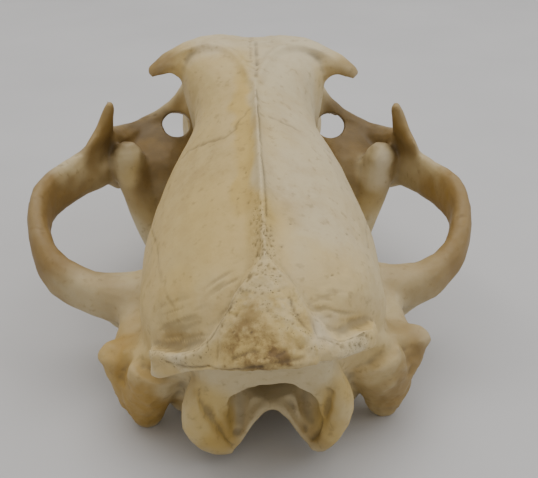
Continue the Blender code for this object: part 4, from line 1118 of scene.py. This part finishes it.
def add_camera(view):
    """The camera at the photograph's angle."""
    data = bpy.data.cameras.new("camera")
    data.sensor_width, data.lens, data.clip_start = 36.0, view.lens, 0.01
    camera = show("camera", data)
    camera.matrix_world = camera_matrix(view)
    bpy.context.scene.camera = camera


def length_property(name, description, default, precision=5, **limits):
    """A length that a user can change, given in mm and kept in metres."""
    return FloatProperty(name=name, description=description, default=default * MM,
                         unit='LENGTH', precision=precision, **limits)


class SkullSizes(bpy.types.PropertyGroup):
    """Sizes of the bones' surface and the teeth."""
    hair: length_property("Hair", "Width of the gap between two bones", 0.01, precision=6)
    voxel: length_property("Bone Grid", "Size of the squares of the bones' skin", 0.6,
                           min=0.3 * MM)
    heal: length_property("Heal", "How far the bones swell to close the saw cuts", 0.2)
    healing: IntProperty(name="Healing", description="Rounds that fill the healed saw cuts",
                         default=14)
    easing: IntProperty(name="Easing", description="Rounds that ease the facets of the solids",
                        default=14)
    seam_width: length_property("Seam Width", "Half width of a common suture", 1.0)
    seam_depth: length_property("Seam Depth", "Depth of a common suture", 1.0)
    rough_height: length_property("Rim Roughness", "Height of the worn rim's lumps", 0.4)
    pore_depth: length_property("Pore Depth", "Depth of the largest pores", 0.4)
    tooth_sink: length_property("Tooth Sink", "How far the bare teeth draw back under their "
                                "enamel", 0.6)
    tooth_voxel: length_property("Tooth Grid", "Size of the squares of the enamel", 0.3,
                                 min=0.2 * MM)


def colour_property(name, description, default):
    """A colour that a user can change."""
    return FloatVectorProperty(name=name, description=description, default=default, size=3,
                               subtype='COLOR', min=0.0, max=1.0)


class SkullColours(bpy.types.PropertyGroup):
    """Colours of bone, enamel and table."""
    cream: colour_property("Cream Bone", "Main colour of the clean bone", (0.62, 0.52, 0.31))
    warm: colour_property("Warm Bone", "Bone that has yellowed a little", (0.62, 0.465, 0.20))
    gold: colour_property("Golden Bone", "Smooth yellow bone of crest and condyles",
                          (0.60, 0.43, 0.14))
    ochre: colour_property("Ochre Bone", "Bone steeped in its own fat", (0.40, 0.25, 0.06))
    olive: colour_property("Olive Bone", "Dull brown bone of arches and sockets",
                           (0.27, 0.175, 0.062))
    # this colour is partly the bone's own brown and partly painted shade deep in the sockets
    umber: colour_property("Umber Bone", "Dark bone deep in the sockets", (0.15, 0.10, 0.04))
    # this colour also paints light inside the great opening between the condyles
    pale: colour_property("Pale Bone", "Bleached and rubbed bone", (0.69, 0.61, 0.44))
    stain: colour_property("Stain", "Brown soil stain on the nape", (0.17, 0.10, 0.035))
    # this dark colour also paints the shade in the hollows of the bone
    dirt_and_shade: colour_property("Dirt", "Dirt in sutures and pores", (0.09, 0.065, 0.04))
    enamel: colour_property("Enamel", "Ivory of the crowns", (0.76, 0.71, 0.57))
    table: colour_property("Table", "Pale table top", (0.60, 0.60, 0.61))
    table_shade: colour_property("Table Shade", "Darker clouds of the table top",
                                 (0.56, 0.56, 0.57))


class SkullView(bpy.types.PropertyGroup):
    """The table, the lights and the camera."""
    camera_place: FloatVectorProperty(
        name="Camera Place", description="Camera in the skull's own measures", size=3,
        default=(0.0049, 0.1577, 0.2268), subtype='XYZ', unit='LENGTH', precision=4)
    camera_yaw: FloatProperty(name="Camera Yaw", description="Turn to the skull's right",
                              default=radians(2.04), subtype='ANGLE')
    camera_fall: FloatProperty(name="Camera Fall", description="Downward angle to the tooth row",
                               default=radians(40.04), subtype='ANGLE')
    camera_roll: FloatProperty(name="Camera Roll", description="Roll of the picture",
                               default=radians(-0.46), subtype='ANGLE')
    lens: FloatProperty(name="Lens", description="Focal length on a 36 mm sensor, in mm",
                        default=60.22)
    table_half: length_property("Table Half", "Half the table's width", 1200.0, precision=3)
    curve: length_property("Curve", "Radius of the sweep up to the wall", 600.0, precision=3)
    wall_height: length_property("Wall Height", "Top of the wall", 1800.0, precision=3)
    key_power: FloatProperty(name="Ceiling Light", description="Power of the soft top light",
                             default=16.0, unit='POWER')
    side_power: FloatProperty(name="Side Light", description="Power of the cool side light",
                              default=4.0, unit='POWER')
    air: FloatProperty(name="Room Light", description="Light from all around", default=0.55)


class SkullOperator:
    """What all the operators share."""
    bl_options = {'REGISTER', 'UNDO'}

    @classmethod
    def poll(cls, context):
        return context.mode == 'OBJECT'


class SKULL_OT_braincase(SkullOperator, bpy.types.Operator):
    """Make the domed braincase with its crest"""
    bl_idname = "skull.braincase"
    bl_label = "Braincase"

    def execute(self, context):
        bone_piece("braincase")
        return {'FINISHED'}


class SKULL_OT_forehead(SkullOperator, bpy.types.Operator):
    """Make the forehead and the horns above the eye sockets"""
    bl_idname = "skull.forehead"
    bl_label = "Forehead"

    def execute(self, context):
        bone_piece("forehead")
        return {'FINISHED'}


class SKULL_OT_muzzle(SkullOperator, bpy.types.Operator):
    """Make the muzzle round the nose opening"""
    bl_idname = "skull.muzzle"
    bl_label = "Muzzle"

    def execute(self, context):
        bone_piece("muzzle")
        return {'FINISHED'}


class SKULL_OT_upper_jaw(SkullOperator, bpy.types.Operator):
    """Make the upper jaw, the cheeks and the floors of the eye sockets"""
    bl_idname = "skull.upper_jaw"
    bl_label = "Upper Jaw"

    def execute(self, context):
        bone_piece("upper_jaw")
        return {'FINISHED'}


class SKULL_OT_arches(SkullOperator, bpy.types.Operator):
    """Make the two cheek arches"""
    bl_idname = "skull.arches"
    bl_label = "Cheek Arches"

    def execute(self, context):
        bone_piece("zygomatic_arch_left")
        bone_piece("zygomatic_arch_right")
        return {'FINISHED'}


class SKULL_OT_ears(SkullOperator, bpy.types.Operator):
    """Make the two ear regions"""
    bl_idname = "skull.ears"
    bl_label = "Ear Regions"

    def execute(self, context):
        bone_piece("ear_left")
        bone_piece("ear_right")
        return {'FINISHED'}


class SKULL_OT_skull_base(SkullOperator, bpy.types.Operator):
    """Make the base of the skull"""
    bl_idname = "skull.skull_base"
    bl_label = "Skull Base"

    def execute(self, context):
        bone_piece("skull_base")
        return {'FINISHED'}


class SKULL_OT_occiput(SkullOperator, bpy.types.Operator):
    """Make the nape plate and the condyles"""
    bl_idname = "skull.occiput"
    bl_label = "Occiput"

    def execute(self, context):
        bone_piece("occiput")
        return {'FINISHED'}


class SKULL_OT_canines(SkullOperator, bpy.types.Operator):
    """Make the two long canines"""
    bl_idname = "skull.canines"
    bl_label = "Canines"

    def execute(self, context):
        canine("canine_left")
        canine("canine_right")
        return {'FINISHED'}

class SKULL_OT_teeth(SkullOperator, bpy.types.Operator):
    """Make the cheek teeth and the front teeth"""
    bl_idname = "skull.teeth"
    bl_label = "Cheek and Front Teeth"

    def execute(self, context):
        for name, cusps in (("cheek", CHEEK_CUSPS), ("front", FRONT_CUSPS)):
            for hand, way in ((1, "left"), (-1, "right")):
                row_of_teeth(f"{name}_teeth_{way}", cusps, hand, f"canine_{way}")
        return {'FINISHED'}


class SKULL_OT_stage(SkullOperator, bpy.types.Operator):
    """Make the table, the lights and the camera"""
    bl_idname = "skull.stage"
    bl_label = "Table, Lights and Camera"

    def execute(self, context):
        view = context.scene.skull_view
        backdrop(view)
        add_lamps(view)
        add_camera(view)
        return {'FINISHED'}


OPERATORS = (SKULL_OT_braincase, SKULL_OT_forehead, SKULL_OT_muzzle, SKULL_OT_upper_jaw,
             SKULL_OT_arches, SKULL_OT_ears, SKULL_OT_skull_base, SKULL_OT_occiput,
             SKULL_OT_canines, SKULL_OT_teeth, SKULL_OT_stage)


class VIEW3D_PT_skull(bpy.types.Panel):
    """The skull's sizes, colours and pieces"""
    bl_label = "Leopard Skull"
    bl_space_type = 'VIEW_3D'
    bl_region_type = 'UI'
    bl_category = "Skull"

    def draw(self, context):
        layout = self.layout
        for group in GROUPS:
            settings = getattr(context.scene, group)
            box = layout.box()
            for name in settings.bl_rna.properties.keys():
                if name not in {"rna_type", "name"}:
                    box.prop(settings, name)
        for operator in OPERATORS:
            layout.operator(operator.bl_idname)


GROUPS = {"skull_sizes": SkullSizes, "skull_colours": SkullColours, "skull_view": SkullView}
CLASSES = (*GROUPS.values(), *OPERATORS, VIEW3D_PT_skull)


def register():
    for kind in CLASSES:
        bpy.utils.register_class(kind)
    for name, group in GROUPS.items():
        setattr(bpy.types.Scene, name, PointerProperty(type=group))


def unregister():
    for name in GROUPS:
        delattr(bpy.types.Scene, name)
    for kind in reversed(CLASSES):
        bpy.utils.unregister_class(kind)


def main():
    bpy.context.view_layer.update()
    register()
    for operator in OPERATORS:
        group, name = operator.bl_idname.split(".")
        getattr(getattr(bpy.ops, group), name)()


if __name__ == "__main__":
    main()
